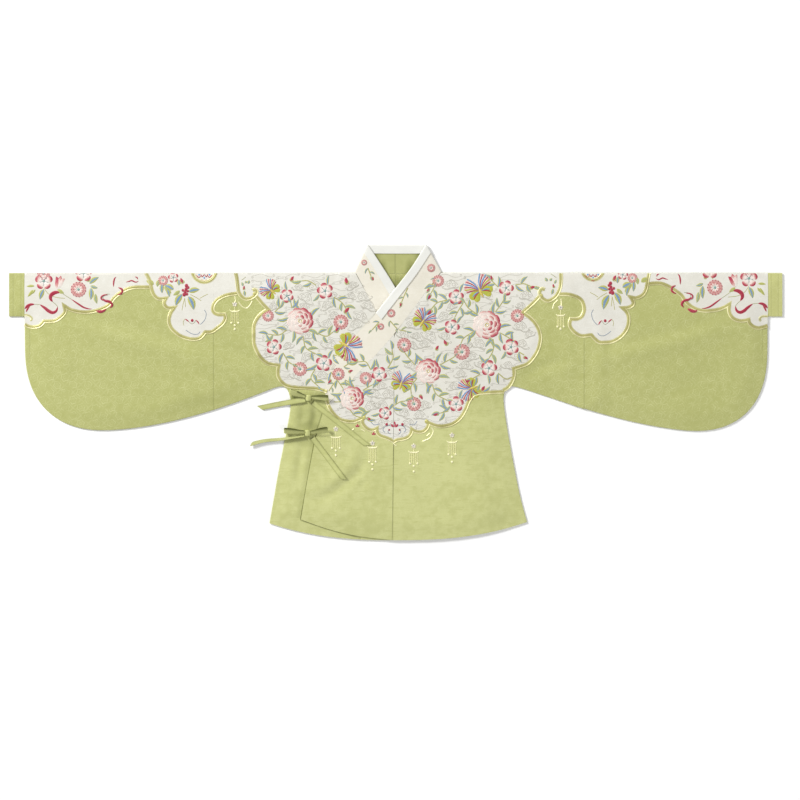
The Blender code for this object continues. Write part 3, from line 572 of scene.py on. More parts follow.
class Wires:
    """Adds shader nodes to a tree and joins them."""

    def __init__(self, tree):
        self.tree = tree

    def fill(self, node, sockets):
        """Join steps to a node's sockets, or set them to plain values."""
        for name, value in sockets.items():
            if isinstance(value, Step):
                self.tree.links.new(value.socket, node.inputs[name])
            else:
                node.inputs[name].default_value = value
        return node

    def put(self, kind, sockets, **settings):
        node = self.tree.nodes.new(kind)
        for name, value in settings.items():
            setattr(node, name, value)
        return self.fill(node, sockets)

    def add(self, kind, output, sockets, **settings):
        return Step(self, self.put("ShaderNode" + kind, sockets, **settings), output)

    def vector(self, operation, *values, output=0):
        return self.add("VectorMath", output, dict(enumerate(values)), operation=operation)

    def mix(self, share, first, second):
        return self.add("Mix", 2, {0: share, 6: first, 7: second}, data_type="RGBA")

    def between(self, share, first, second):
        return self.add("Mix", 0, {0: share, 2: first, 3: second}, data_type="FLOAT")

    def noise(self, vector, scale, detail=2.0):
        return self.add("TexNoise", "Fac", {"Vector": vector, "Scale": scale, "Detail": detail})

    def mapped(self, vector, scale, shift=(0.0, 0.0, 0.0)):
        sockets = {"Vector": vector, "Scale": scale, "Location": shift}
        return self.add("Mapping", "Vector", sockets)

    def mark(self, name):
        """The value that each point keeps under a name."""
        return self.add("Attribute", "Fac", {}, attribute_name=name)

    def bump(self, height, strength, distance):
        sockets = {"Strength": strength, "Distance": distance, "Height": height}
        return self.add("Bump", "Normal", sockets)

    def axes(self, vector):
        """The x and y of a vector."""
        node = self.put("ShaderNodeSeparateXYZ", {"Vector": vector})
        return Step(self, node, "X"), Step(self, node, "Y")

    def group(self, tree, **sockets):
        """Place a node group, and give its outputs by name."""
        node = self.put("ShaderNodeGroup", {}, node_tree=tree)
        self.fill(node, sockets)
        return {socket.name: Step(self, node, socket.name) for socket in node.outputs}


def new_group(name, vectors, numbers, outputs):
    """A node group with sockets for vectors and numbers, and number outputs."""
    tree = bpy.data.node_groups.new(name, "ShaderNodeTree")
    for titles, way, kind in (
        (vectors, "INPUT", "Vector"), (numbers, "INPUT", "Float"), (outputs, "OUTPUT", "Float"),
    ):
        for title in titles:
            tree.interface.new_socket(name=title, in_out=way, socket_type="NodeSocket" + kind)
    wires = Wires(tree)
    entry = wires.put("NodeGroupInput", {})
    return tree, wires, [Step(wires, entry, title) for title in (*vectors, *numbers)]


def new_material(name):
    """An empty node material with its shader, and the Object coordinates."""
    material = bpy.data.materials.new(name)
    material.use_nodes = True
    wires = Wires(material.node_tree)
    shader = material.node_tree.nodes["Principled BSDF"]
    return material, wires, shader, wires.add("TexCoord", "Object", {})


# %% [markdown]
# ## The damask figure and the thread
# Damask is woven in one colour: the figure shows because its threads float, so it is a little
# lighter and smoother than the ground. Here the figure is a trellis of lozenges with a small
# blossom in each, 37 mm apart, drawn with a few lines of arithmetic. The thread is a fine twill.
# Both are node groups, because the green cloth, the ivory cloth and the ties all use them.

# %% Node groups for the figure, the thread, and the wear and painted crease shade of the cloth
FIGURE_REPEAT = 0.037
# how far the figure strays in metres, and over which scale
STRAY = 0.008
STRAY_SCALE = 38.0
# the trellis' line, its wave's pitch and depth, and its strength
TRELLIS = (0.4, 0.49)
WAVE = (25.0, 0.012)
TRELLIS_SHARE = 0.55
# the blossom's lobes and their depth, its radius and the radius of the sprig round it
LOBES = (6.0, 0.045)
BLOSSOM_SIZE = 0.2
SPRIG_SIZE = 0.33
# where the blossom, its eye and the sprig start and are full
BLOSSOM_RIM = (0.0, 0.03)
EYE_RIM = (0.07, 0.05)
SPRIG_RIM = (0.07, 0.02)
BLOSSOM_SHARE = 0.5
# where the figure is worn away and where it is kept
KEPT_SCALE = 75.0
KEPT = (0.3, 0.58)
THREAD_PITCH = 0.0007
TWILL_SLOPE = 0.6
SLUB_STRETCH = (60.0, 900.0, 60.0)
# scales and shares of the broad and fine change of shade, and of painted crease shade in streaks along
# the weft
BROAD = (3.2, 0.45)
FINE = (60.0, 0.55)
CREASE_SHADE_STRETCH = (34.0, 250.0, 34.0)
CREASE_SHADE_RIM = (0.58, 0.7)
CREASE_SHADE_SHARE = 0.14


def damask_group():
    tree, wires, (place,) = new_group("damask_figure", ["Place"], [], ["Figure"])
    stray = wires.noise(place, STRAY_SCALE) - 0.5
    x, y = [stray.step("MULTIPLY_ADD", STRAY, axis) / FIGURE_REPEAT for axis in wires.axes(place)]
    rising = (x + y).step("FRACT") - 0.5
    falling = (x - y).step("FRACT") - 0.5
    wave = (x * WAVE[0]).step("SINE") * WAVE[1]
    trellis = (abs(rising).step("MAXIMUM", abs(falling)) + wave).ramp(*TRELLIS) * TRELLIS_SHARE
    radius = (rising.step("POWER", 2.0) + falling.step("POWER", 2.0)).step("SQRT")
    lobes = (rising.step("ARCTAN2", falling) * LOBES[0]).step("COSINE") * LOBES[1]
    blossom = (lobes + BLOSSOM_SIZE - radius).ramp(*BLOSSOM_RIM)
    blossom = blossom.step("SUBTRACT", radius.ramp(*EYE_RIM), use_clamp=True) * BLOSSOM_SHARE
    sprig = abs(lobes + SPRIG_SIZE - radius).ramp(*SPRIG_RIM)
    figure = trellis.step("MAXIMUM", blossom.step("MAXIMUM", sprig))
    kept = wires.noise(place, KEPT_SCALE, 3.0).ramp(*KEPT)
    wires.put("NodeGroupOutput", {"Figure": figure * kept})
    return tree


def thread_group():
    tree, wires, (place, pitch) = new_group(
        "twill_thread", ["Place"], ["Pitch"], ["Thread", "Slub"]
    )
    x, y = wires.axes(place)
    twill = ((x + y * TWILL_SLOPE) / pitch * math.tau).step("SINE").step("MULTIPLY_ADD", 0.5, 0.5)
    slub = wires.noise(wires.mapped(place, SLUB_STRETCH), 1.0, 3.0)
    wires.put("NodeGroupOutput", {"Thread": twill, "Slub": slub})
    return tree


def wear_and_crease_shade_group():
    """Slow changes of shade over the cloth, as between dye lots, light and handling, with painted crease
    shade in streaks along the weft.
    """
    tree, wires, (place,) = new_group("cloth_shade", ["Place"], [], ["Shade"])
    shade = wires.noise(place, BROAD[0]) * BROAD[1] + wires.noise(place, FINE[0], 4.0) * FINE[1]
    # painted shade: streaks along the weft stand in for the shade of small creases
    crease_shade = wires.noise(wires.mapped(place, CREASE_SHADE_STRETCH), 1.0).ramp(*CREASE_SHADE_RIM)
    wires.put("NodeGroupOutput", {"Shade": shade - crease_shade * CREASE_SHADE_SHARE})
    return tree


DAMASK, THREAD, WEAR_AND_CREASE_SHADE = damask_group(), thread_group(), wear_and_crease_shade_group()
print("node groups:", [tree.name for tree in (DAMASK, THREAD, WEAR_AND_CREASE_SHADE)])

# %% [markdown]
# ## Seams and stitch lines
# A seam shows as a narrow sunk line where the cloth turns in, and a topstitched hem as a row of
# short threads. The seams here are nearly straight, so a group works out how far a point is from a
# straight line and gives the sunk line back as a mask for colour and height.

# %% A node group for a straight seam
STITCH_STEP = 0.0032
FLAT = (1.0, 1.0, 0.0)
# metres over which a line ends, and from a line where its seam and its stitches start and are full
LINE_END = 0.001
SEAM_RIM = (0.0024, 0.0003)
STITCH_RIM = (0.0007, 0.0003)
# shares of a stitch's step where the thread dips and where it is full
DASH = (0.4, 0.3)


def seam_group():
    tree, wires, (place, start, along, length, width) = new_group(
        "straight_seam", ["Place", "Start", "Along"], ["Length", "Width"], ["Seam", "Stitch"]
    )
    flat = wires.vector("MULTIPLY", wires.vector("SUBTRACT", place, start), FLAT)
    run = wires.vector("DOT_PRODUCT", flat, along, output="Value")
    gap = wires.vector("LENGTH", wires.vector("CROSS_PRODUCT", flat, along), output="Value")
    within = run.ramp(-LINE_END, LINE_END) * (run - length).ramp(LINE_END, -LINE_END)
    seam = within * (gap / width).ramp(*SEAM_RIM)
    dash = abs((run / STITCH_STEP).step("FRACT") - 0.5).ramp(*DASH)
    stitch = within * gap.ramp(*STITCH_RIM) * dash
    wires.put("NodeGroupOutput", {"Seam": seam, "Stitch": stitch})
    return tree


SEAM = seam_group()
# start and end of each seam, and of each painted shadow line by the overlap's free edge and hem, in
# millimetres
SEAM_AND_SHADOW_LINES = {
    "sleeve_right": ((-SLEEVE_SEAM[-1], 0), (-SLEEVE_SEAM[-1], -340)),
    "sleeve_left": ((SLEEVE_SEAM[1], 0), (SLEEVE_SEAM[1], -340)),
    "front_centre": ((-5, -395), (-8.9, -645)),
    "cuff_right": ((-CUFF_SEAM, 0), (-CUFF_SEAM, -106)),
    "cuff_left": ((CUFF_SEAM, 0), (CUFF_SEAM, -106)),
    "free_top": ((-178, -338), (-193, -386)),
    "free_edge": ((-193, -386), (-229.5, -594)),
    "free_shade": ((-198, -400), (-232.5, -590)),
    "overlap_hem": ((-229.5, -594), (-85, -638)),
    "facing_centre": ((-2.2, 52), (-2.2, -1)),
    "neck_upper": ((-22, -3.4), (20, -3.4)),
    "neck_lower": ((-20, -9.6), (18, -9.6)),
}
# rows of topstitching at the sleeves' ends and on the cuffs, the left cuff's last
STITCHES = (
    ((-881, -118), (-881, -206)), ((881, -118), (881, -212)), ((-921, -2), (-921, -103)),
    ((-902, -2), (-902, -103)), ((919, -2), (919, -103)), ((902, -2), (902, -103)),
)


def line_masks(wires, place, line, width=1.0):
    """The masks of one line of sewing, which is given by two plan points."""
    first, last = metres(line)
    run = float(np.linalg.norm(last - first))
    along = (*((last - first) / run), 0.0)
    return wires.group(
        SEAM, Place=place, Start=(*first, 0.0), Along=along, Length=run, Width=width
    )


print("seams:", len(SEAM_AND_SHADOW_LINES), "rows of topstitching:", len(STITCHES))

# %% [markdown]
# ## The green and ivory cloth
# Both cloths are the same silk: a soft sheen, a figure a shade lighter than its ground, a twill
# that only shows close by, and a slow change of shade. The colour, roughness and bump all come from
# the same masks, so they agree. What is the same all over, such as the sheen, is set on the shader.

# %% Cloth materials
BODY_PAINTED_LIGHT = dye(203, 205, 143)
# the colour of painted shadows on the cloth, and, darker still, of the painted shade inside the tie
# loops
SHADOW_GREEN = dye(104, 110, 44)
GREEN_DEEP = dye(163, 166, 95)
GREENS = (dye(178, 180, 114), dye(194, 196, 136), GREEN_DEEP)
# painted light: the body is a little lighter within these distances from the middle and below the fold
BODY_X = (0.36, 0.29)
BODY_Y = (SHOULDER - 0.24, SHOULDER - 0.36)
BODY_LIGHT_SHARE = 0.75
# where worn places with painted crease shade, and slubby places, start and are full, and how dark they
# are
WORN_AND_CREASE_SHADE = (0.6, 0.38)
WORN_AND_CREASE_SHADE_SHARE = 0.34
SLUB = (0.35, 0.7)
SLUB_SHARE = 0.1
# heights of the figure, the twill, the seams and the stitches as shares of the bump
FIGURE_HIGH = 0.35
TWILL_HIGH = 0.2
SEAM_DEEP = 4.0
STITCH_HIGH = 1.6
ROW_SHARE = 0.22


def soft_patch(wires, place, x, y, wide, high):
    """A mask that fades out from the middle of an ellipse given in millimetres."""
    middle = metres((x, y))
    size = (1.0 / (wide * MM), 1.0 / (high * MM), 0.0)
    shift = (-middle[0] * size[0], -middle[1] * size[1], 0.0)
    reach = wires.vector("LENGTH", wires.mapped(place, size, shift), output="Value")
    return reach.ramp(1.0, 0.2)


def silk(name, ground, figured, deep, seams=(), stitches=(), figure_share=1.0, lift=None,
         shadows=(), marks=()):
    """Damask whose colour, gloss and bump follow its figure, thread, seams and stitches."""
    material, wires, shader, place = new_material(name)
    figure = wires.group(DAMASK, Place=place)["Figure"] * figure_share
    thread = wires.group(THREAD, Place=place, Pitch=THREAD_PITCH)
    shade = wires.group(WEAR_AND_CREASE_SHADE, Place=place)["Shade"]
    colour = wires.mix(figure, ground, figured)
    # painted light: the body's cloth is given a lighter colour
    if lift is not None:
        x, y = wires.axes(place)
        body_light = abs(x).ramp(*BODY_X) * y.ramp(*BODY_Y)
        colour = wires.mix(body_light * BODY_LIGHT_SHARE, colour, lift)
    # worn places and painted crease shade darken the colour towards the deep green
    colour = wires.mix(shade.ramp(*WORN_AND_CREASE_SHADE) * WORN_AND_CREASE_SHADE_SHARE, colour, deep)
    colour = wires.mix(thread["Slub"].ramp(*SLUB) * SLUB_SHARE, colour, deep)
    height = thread["Thread"].step("MULTIPLY_ADD", TWILL_HIGH, figure * FIGURE_HIGH)
    # painted shadows: soft patches darken the colour towards the shadow green
    for *ellipse, share in shadows:
        colour = wires.mix(soft_patch(wires, place, *ellipse) * share, colour, SHADOW_GREEN)
    # painted shade from marks the points keep, such as the ties' edges and the insides of their loops
    for mark, share, tint in marks:
        colour = wires.mix(wires.mark(mark) * share, colour, tint)
    # seams darken and sink the cloth; the lines by the overlap's free edge and hem are painted shadow,
    # and sink the bump as seams do
    for line, depth, *width in seams:
        seam = line_masks(wires, place, SEAM_AND_SHADOW_LINES[line], *width)["Seam"]
        colour = wires.mix(seam * depth, colour, darker(deep, 0.55))
        height = height - seam * (SEAM_DEEP * depth)
    if stitches:
        masks = [line_masks(wires, place, line) for line in stitches]
        row, stitch = masks[0]["Seam"], masks[0]["Stitch"]
        for mask in masks[1:]:
            row, stitch = row.step("MAXIMUM", mask["Seam"]), stitch.step("MAXIMUM", mask["Stitch"])
        colour = wires.mix(row * ROW_SHARE, colour, darker(deep, 0.7))
        height = stitch.step("MULTIPLY_ADD", STITCH_HIGH, height - row)
    wires.fill(shader, {
        "Base Color": colour, "Roughness": wires.between(figure, 0.62, 0.52),
        "Normal": wires.bump(height, 0.6, 0.0002), "Sheen Weight": 0.12, "Sheen Roughness": 0.5,
        "Specular IOR Level": 0.35,
    })
    return material


# painted shadow where the cloth sinks under the bows: middle, half sizes and share
GATHER_SHADOWS = (
    (-212, -342, 50, 44, 0.36), (-212, -366, 40, 15, 0.34), (-226, -404, 50, 20, 0.26),
    (-186, -300, 26, 12, 0.6), (-246, -300, 13, 8, 0.7),
)
# painted shade: the inside of the neck is darker in its point, its top corners and along its sides
NECK_SHADE = (
    (-1, -26, 34, 30, 0.5), (-60, 46, 30, 30, 0.5), (62, 46, 30, 30, 0.5),
    (-34, 8, 16, 36, 0.4), (34, 8, 16, 36, 0.45),
)
JOINS = [("sleeve_right", 0.28), ("sleeve_left", 0.28), ("cuff_right", 0.35), ("cuff_left", 0.35)]
# painted shadow lines along the overlap's free edge and hem, on the body panel below it
OVERLAP_SHADOW_LINES = [
    ("free_shade", 0.22, 5.0), ("free_top", 0.6), ("free_edge", 0.85), ("overlap_hem", 0.5, 1.7),
]
# the green, with painted light over the body and painted shade in the neck's point
GREEN = silk(
    "green_damask", *GREENS, lift=BODY_PAINTED_LIGHT, seams=JOINS + [("front_centre", 0.33)],
    stitches=STITCHES, shadows=NECK_SHADE[:1],
)
# painted light: a lighter copy of the green for the wearer's left cuff
LIT_GREEN = silk(
    "green_damask_cuff", dye(193, 194, 127), dye(203, 204, 141), dye(182, 183, 112),
    seams=JOINS[3:], stitches=STITCHES[4:],
)
# the body panel under the overlap, with painted shadows under the bows, in the neck and along the
# overlap's edge
UNDER_GREEN = silk(
    "green_damask_under", *GREENS, lift=BODY_PAINTED_LIGHT, seams=JOINS[:1] + OVERLAP_SHADOW_LINES,
    shadows=GATHER_SHADOWS + NECK_SHADE[:1],
)
# painted shade: the collar's inner face is a darker copy of the green, as it lies in the neck's shade
FACING_IN_SHADE = silk(
    "green_facing", dye(174, 176, 113), dye(178, 180, 118), dye(160, 163, 97), figure_share=0.5,
    seams=[("facing_centre", 0.4), ("neck_upper", 0.5), ("neck_lower", 0.35)], shadows=NECK_SHADE,
)
IVORY = silk(
    "ivory_damask", dye(220, 218, 208), dye(227, 225, 215), dye(207, 203, 190), figure_share=0.8,
)
COLLAR_IVORY = silk(
    "collar_damask", dye(228, 223, 208), dye(233, 229, 216), dye(218, 211, 192), figure_share=0.6,
)
# painted shade: the ties are darker along their edges and inside their loops
TIE_GREEN = silk(
    "tie_damask", dye(193, 196, 131), dye(200, 202, 140), GREEN_DEEP, figure_share=0.5,
    marks=[("edge", 0.55, darker(GREEN_DEEP, 0.6)), ("hollow", 0.9, darker(SHADOW_GREEN, 0.72))],
)
WHITE = silk(
    "white_guard", dye(228, 228, 221), dye(238, 237, 232), dye(219, 218, 212), figure_share=0.0,
)
print("cloths:", [material.name for material in (GREEN, IVORY, TIE_GREEN, WHITE)])

# %% Dress the panels
# the collar's back part lies lower than this, further up than this and this near the middle
COLLAR_BACK = (3.0, -12.0, 110.0)


def finish_piece(thing, materials, angle=60):
    """Give a piece its materials and its place on the body, and shade it smooth."""
    thing.data.materials.clear()
    for material in materials:
        thing.data.materials.append(material)
    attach(thing, "root")
    select_only(thing)
    bpy.ops.object.shade_smooth_by_angle(angle=math.radians(angle))


def outside_of_collar(shell):
    """Ivory where the collar's outer face shows, green on its inner face."""
    for face in shell.data.polygons:
        x, y, z = face.center
        low = z < COLLAR_BACK[0] * MM and abs(x) < COLLAR_BACK[2] * MM
        in_back = low and y > SHOULDER + COLLAR_BACK[1] * MM
        face.material_index = int((face.normal.z >= 0) if in_back else (face.normal.z <= 0))


for node, shell in shells.items():
    if node == "collar":
        finish_piece(shell, [COLLAR_IVORY, FACING_IN_SHADE])
        outside_of_collar(shell)
    elif node == "collar_guard":
        finish_piece(shell, [WHITE])
    else:
        cloth = {"body_right": UNDER_GREEN, "cuff_left": LIT_GREEN}.get(node, GREEN)
        finish_piece(shell, [cloth])
print("dressed", len(shells), "panels")

# %% [markdown]
# ## The outline of the ivory ground
# The ivory ground runs over the shoulders and down the sleeves as a band, and spreads on the chest
# into a lobed cloud collar. Its edge is a chain of curves that meet in points. Each curve is given
# by a few points and smoothed, and the points where curves meet stay sharp.

# %% The curves, from the wearer's right cuff to the left one, and a hook at each end
CURVES = (
    ((-893, -123), (-885, -128), (-872, -130), (-857, -127), (-846, -116)),
    ((-846, -116), (-833, -116), (-818, -114), (-804, -104), (-796, -93), (-798, -79)),
    ((-798, -79), (-783, -88), (-763, -93), (-743, -94), (-723, -91), (-703, -84), (-690, -76),
     (-679, -61), (-666, -50), (-652, -41), (-638, -36), (-621, -34), (-594, -34)),
    ((-602, 0), (-595, -13), (-590, -27), (-587, -41), (-581, -54), (-570, -62), (-553, -61)),
    ((-553, -61), (-557, -70), (-555, -79), (-547, -84), (-533, -83)),
    ((-533, -83), (-542, -97), (-546, -115), (-541, -131), (-531, -142), (-517, -152), (-498, -158),
     (-482, -159), (-470, -155), (-459, -142)),
    ((-459, -142), (-443, -141), (-430, -132), (-418, -122), (-411, -110), (-413, -100)),
    ((-413, -100), (-429, -100), (-439, -94), (-441, -83), (-436, -71), (-425, -61), (-407, -53),
     (-383, -49)),
    ((-386, 0), (-383, -14), (-381, -31), (-379, -44), (-373, -55), (-363, -62), (-351, -61),
     (-341, -55), (-335, -47), (-339, -40), (-345, -42)),
    ((-337, -55), (-330, -63), (-321, -74), (-307, -88)),
    ((-307, -88), (-323, -98), (-334, -110), (-341, -126), (-342, -147), (-341, -170), (-334, -189),
     (-323, -206), (-306, -218), (-282, -222)),
    ((-282, -222), (-284, -235), (-283, -249), (-274, -263), (-262, -271), (-241, -275), (-217, -276),
     (-193, -278), (-166, -285)),
    ((-169, -293), (-166, -307), (-161, -322), (-151, -337), (-139, -349), (-124, -355), (-110, -357),
     (-96, -355), (-79, -347)),
    ((-79, -347), (-81, -358), (-76, -368), (-66, -376), (-55, -377), (-46, -373)),
    ((-46, -373), (-45, -383), (-38, -391), (-24, -396), (-14, -400), (-6, -405)),
    ((-6, -405), (3, -401), (15, -399), (27, -395), (35, -386), (37, -375)),
    ((37, -375), (45, -380), (55, -382), (66, -380), (74, -372), (78, -360)),
    ((78, -360), (85, -363), (97, -367), (112, -368), (134, -363), (153, -349), (166, -328),
     (174, -309), (184, -295), (198, -289), (221, -287), (240, -286), (259, -285)),
    ((257, -282), (268, -275), (276, -265), (282, -250), (283, -238), (282, -230)),
    ((282, -230), (298, -225), (315, -218), (328, -205), (338, -189), (344, -172), (346, -154),
     (342, -136), (332, -119), (320, -107), (303, -95)),
    ((303, -95), (316, -84), (328, -73), (336, -65), (344, -56)),
    ((357, -40), (350, -38), (345, -44), (346, -53), (353, -62), (363, -67), (373, -64), (385, -54),
     (393, -38), (396, -19), (396, 0)),
    ((391, -51), (411, -51), (431, -56), (445, -65), (451, -77), (452, -92), (445, -106), (433, -111),
     (420, -111)),
    ((420, -111), (417, -121), (420, -132), (431, -144), (446, -151), (469, -149)),
    ((469, -149), (477, -158), (487, -166), (498, -167), (517, -165), (534, -157), (546, -146),
     (554, -134), (558, -120), (558, -105), (553, -93), (544, -84)),
    ((544, -84), (557, -83), (566, -79), (570, -72), (567, -64), (563, -58)),
    ((563, -58), (574, -60), (583, -58), (593, -52), (600, -40), (603, -26), (605, -14), (608, 0)),
    ((604, -27), (616, -25), (629, -24), (643, -27), (658, -34), (672, -43), (686, -54), (692, -63),
     (700, -73), (712, -82), (725, -88), (742, -91), (759, -90), (776, -87), (791, -81), (801, -75)),
    ((801, -75), (800, -89), (804, -102), (813, -111), (826, -115), (839, -114), (847, -112)),
    ((847, -112), (849, -120), (857, -128), (869, -132), (882, -130), (893, -126)),
    ((-894, -101), (-885, -102), (-877, -107), (-876, -112), (-880, -114)),
    ((894, -104), (884, -104), (876, -107), (874, -112), (877, -115)),
)
HOOKS = 2
# of the dividers' curves, only these points lie on the outline
ON_OUTLINE = {3: slice(3, 7), 8: slice(4, 8), 21: slice(4, 8), 26: slice(0, 5)}
PARTS = 12


def lengths(line):
    """How far along a line each of its points lies."""
    return np.concatenate([[0.0], np.cumsum(np.linalg.norm(np.diff(line, axis=0), axis=1))])


def read_at(at, run, rows):
    """Rows of numbers that are known along a run, read at other places of it."""
    return np.stack([np.interp(at, run, column) for column in rows.T], axis=1)


def spaced(points, step):
    """Points at equal steps along a polyline."""
    points = np.asarray(points, float)
    run = lengths(points)
    count = max(2, int(round(run[-1] / step)) + 1)
    return read_at(np.linspace(0.0, run[-1], count), run, points)


def smooth_line(points, step):
    """A smooth curve through the points, at equal steps."""
    points = np.asarray(points, float)
    if len(points) < 3:
        return spaced(points, step)
    ends = np.vstack([2 * points[0] - points[1], points, 2 * points[-1] - points[-2]])
    t = np.linspace(0.0, 1.0, PARTS, endpoint=False)[:, None]
    rows = [
        0.5 * (
            2 * first + (last - before) * t
            + (2 * before - 5 * first + 4 * last - after) * t ** 2
            + (3 * first - before - 3 * last + after) * t ** 3
        )
        for before, first, last, after in zip(ends, ends[1:], ends[2:], ends[3:])
    ]
    return spaced(np.vstack(rows + [points[-1:]]), step)


IVORY_STEP = 3.0
# the outline runs on past the fold, up to the cuffs' seams
FOLD_MARGIN = 12.0
IVORY_END = 895.5
CUFF_CORNER = -125.0
LEAST_STEP = 0.6
outline = [
    smooth_line(curve[ON_OUTLINE.get(number, slice(None))], IVORY_STEP)
    for number, curve in enumerate(CURVES[:-HOOKS])
]
outline.append([(IVORY_END, CUFF_CORNER), (IVORY_END, FOLD_MARGIN), (-IVORY_END, FOLD_MARGIN)])
outline.append([(-IVORY_END, CURVES[0][0][1])])
outline = np.vstack(outline)
gaps = np.linalg.norm(outline - np.roll(outline, 1, axis=0), axis=1)
outline = outline[gaps > LEAST_STEP]
print("ivory outline:", len(outline), "points")

# %% [markdown]
# ## Laying the ivory ground on the cloth
# The ground is a thin sheet on each panel that it crosses. Its plan is cut by the outline and by
# the rims of the panels, so that it stops at each seam and under each layer as the real one does.
# Triangles whose middle first meets a panel from above belong to that panel. Each sheet takes the
# panel's height at every point, and gets a hair of thickness, so that it is a closed solid.

# %% The rims of the panels in plan
# faces steeper than these don't count as the upper side, and don't carry anything
RIM_SLOPE = 0.4
LEAST_SLOPE = 0.3
# how far round a gap its rims are looked for, and the y between which the ground lies
LOOK_ROUND = 0.9
GROUND_SPAN = (-425.0, 8.0)
BATCH = 2000
HOMES = ("sleeve_right", "body_right", "overlap_outer", "body_left", "sleeve_left")
COVERS = HOMES + ("collar", "collar_guard", "overlap_inner", "cuff_right", "cuff_left")


def rims_of(shell):
    """Edges of a panel's upper side in plan, as pairs of points in millimetres."""
    shape = bmesh.new()
    shape.from_mesh(shell.data)
    shape.normal_update()
    pairs = []
    for edge in shape.edges:
        ups = [face.normal.z > RIM_SLOPE for face in edge.link_faces]
        if len(ups) == 2 and ups[0] != ups[1] and edge.verts[0].co.z > FRONT_ABOVE * MM:
            pairs.append([millimetres(np.array(vert.co)) for vert in edge.verts])
    shape.free()
    return np.array(pairs)


def inside(points, ring):
    """Which points lie inside a closed ring."""
    first, last = ring, np.roll(ring, -1, axis=0)
    rise = np.where(last[:, 1] == first[:, 1], 1e-9, last[:, 1] - first[:, 1])
    hits = []
    for part in np.array_split(points, len(points) // BATCH + 1):
        x, y = part[:, :1], part[:, 1:]
        between = (first[:, 1] > y) != (last[:, 1] > y)
        left = x < (last[:, 0] - first[:, 0]) * (y - first[:, 1]) / rise + first[:, 0]
        hits.append((between & left).sum(axis=1) % 2 == 1)
    return np.concatenate(hits)


class Layers:
    """Finds which panel shows from above at a plan point, and how high it is there."""

    def __init__(self, things):
        self.names = list(things)
        self.ends = np.cumsum([len(thing.data.polygons) for thing in things.values()])
        self.tree = tree_of(things.values())

    def look(self, x, y):
        """The name, height in millimetres and slope of what shows at a plan point."""
        place = Vector((x * MM, y * MM + SHOULDER, ABOVE))
        hit, normal, face, _ = self.tree.ray_cast(place, DOWN)
        if hit is None:
            return None, math.nan, 0.0
        return self.names[np.searchsorted(self.ends, face, side="right")], hit.z / MM, normal.z

    def height(self, x, y):
        """The height at a point, or the highest near it where a gap lies below."""
        _, z, slope = self.look(x, y)
        if z > FRONT_ABOVE and slope > LEAST_SLOPE:
            return z
        steps = (-LOOK_ROUND, 0.0, LOOK_ROUND)
        near = [self.look(x + a, y + b)[1] for a in steps for b in steps]
        return max([value for value in near if value > FRONT_ABOVE] or [FRONT_ABOVE])


covers = {name: shells[name] for name in COVERS}
layers = Layers(covers)
rims = np.vstack([rims_of(shell) for shell in covers.values()])
rims = rims[((rims[:, :, 1] > GROUND_SPAN[0]) & (rims[:, :, 1] < GROUND_SPAN[1])).all(axis=1)]
print("rim edges near the ground:", len(rims))

# %% Cut the ground and lay it
GRID = 5.5
ROW = GRID * 0.866
MERGE_PLAN = 1e-3
GROUND_GAP = 0.1
GROUND_THICK = 0.22
# how far the rim is drawn in, and how far inside it its height is read
SEAM_DRAW = 0.2
PROBE = 0.5
# least area of an island, and least doubled area of a triangle
SCRAP = 90.0
SLIVER = 0.02


def plan_triangles():
    """The plan of the ground, cut by its outline and the panels' rims."""
    low, high = outline.min(axis=0), outline.max(axis=0)
    grid = np.array([
        (x + (row % 2) * GRID / 2, y)
        for row, y in enumerate(np.arange(low[1], high[1], ROW))
        for x in np.arange(low[0], high[0], GRID)
    ])
    spots = np.vstack([outline, rims.reshape(-1, 2), grid[inside(grid, outline)]])
    count = len(outline)
    cuts = [(i, (i + 1) % count) for i in range(count)]
    cuts += [(count + 2 * i, count + 2 * i + 1) for i in range(len(rims))]
    result = delaunay_2d_cdt([Vector(spot) for spot in spots], cuts, [], 0, MERGE_PLAN)
    points = np.array([tuple(point) for point in result[0]])
    faces = np.array([face for face in result[2] if len(face) == 3])
    return points, faces[inside(points[faces].mean(axis=1), outline)]


def doubled_area(points, faces):
    corners = points[faces]
    return np.cross(corners[:, 1] - corners[:, 0], corners[:, 2] - corners[:, 0])


def without_scraps(points, faces):
    """Leave out small islands."""
    island = np.arange(len(points))
    before = None
    while before is None or (before != island).any():
        before = island.copy()
        lowest = island[faces].min(axis=1)
        for corner in range(3):
            np.minimum.at(island, faces[:, corner], lowest)
    home = island[faces[:, 0]]
    total = np.bincount(home, np.abs(doubled_area(points, faces)) / 2, len(points))
    return faces[total[home] > SCRAP]


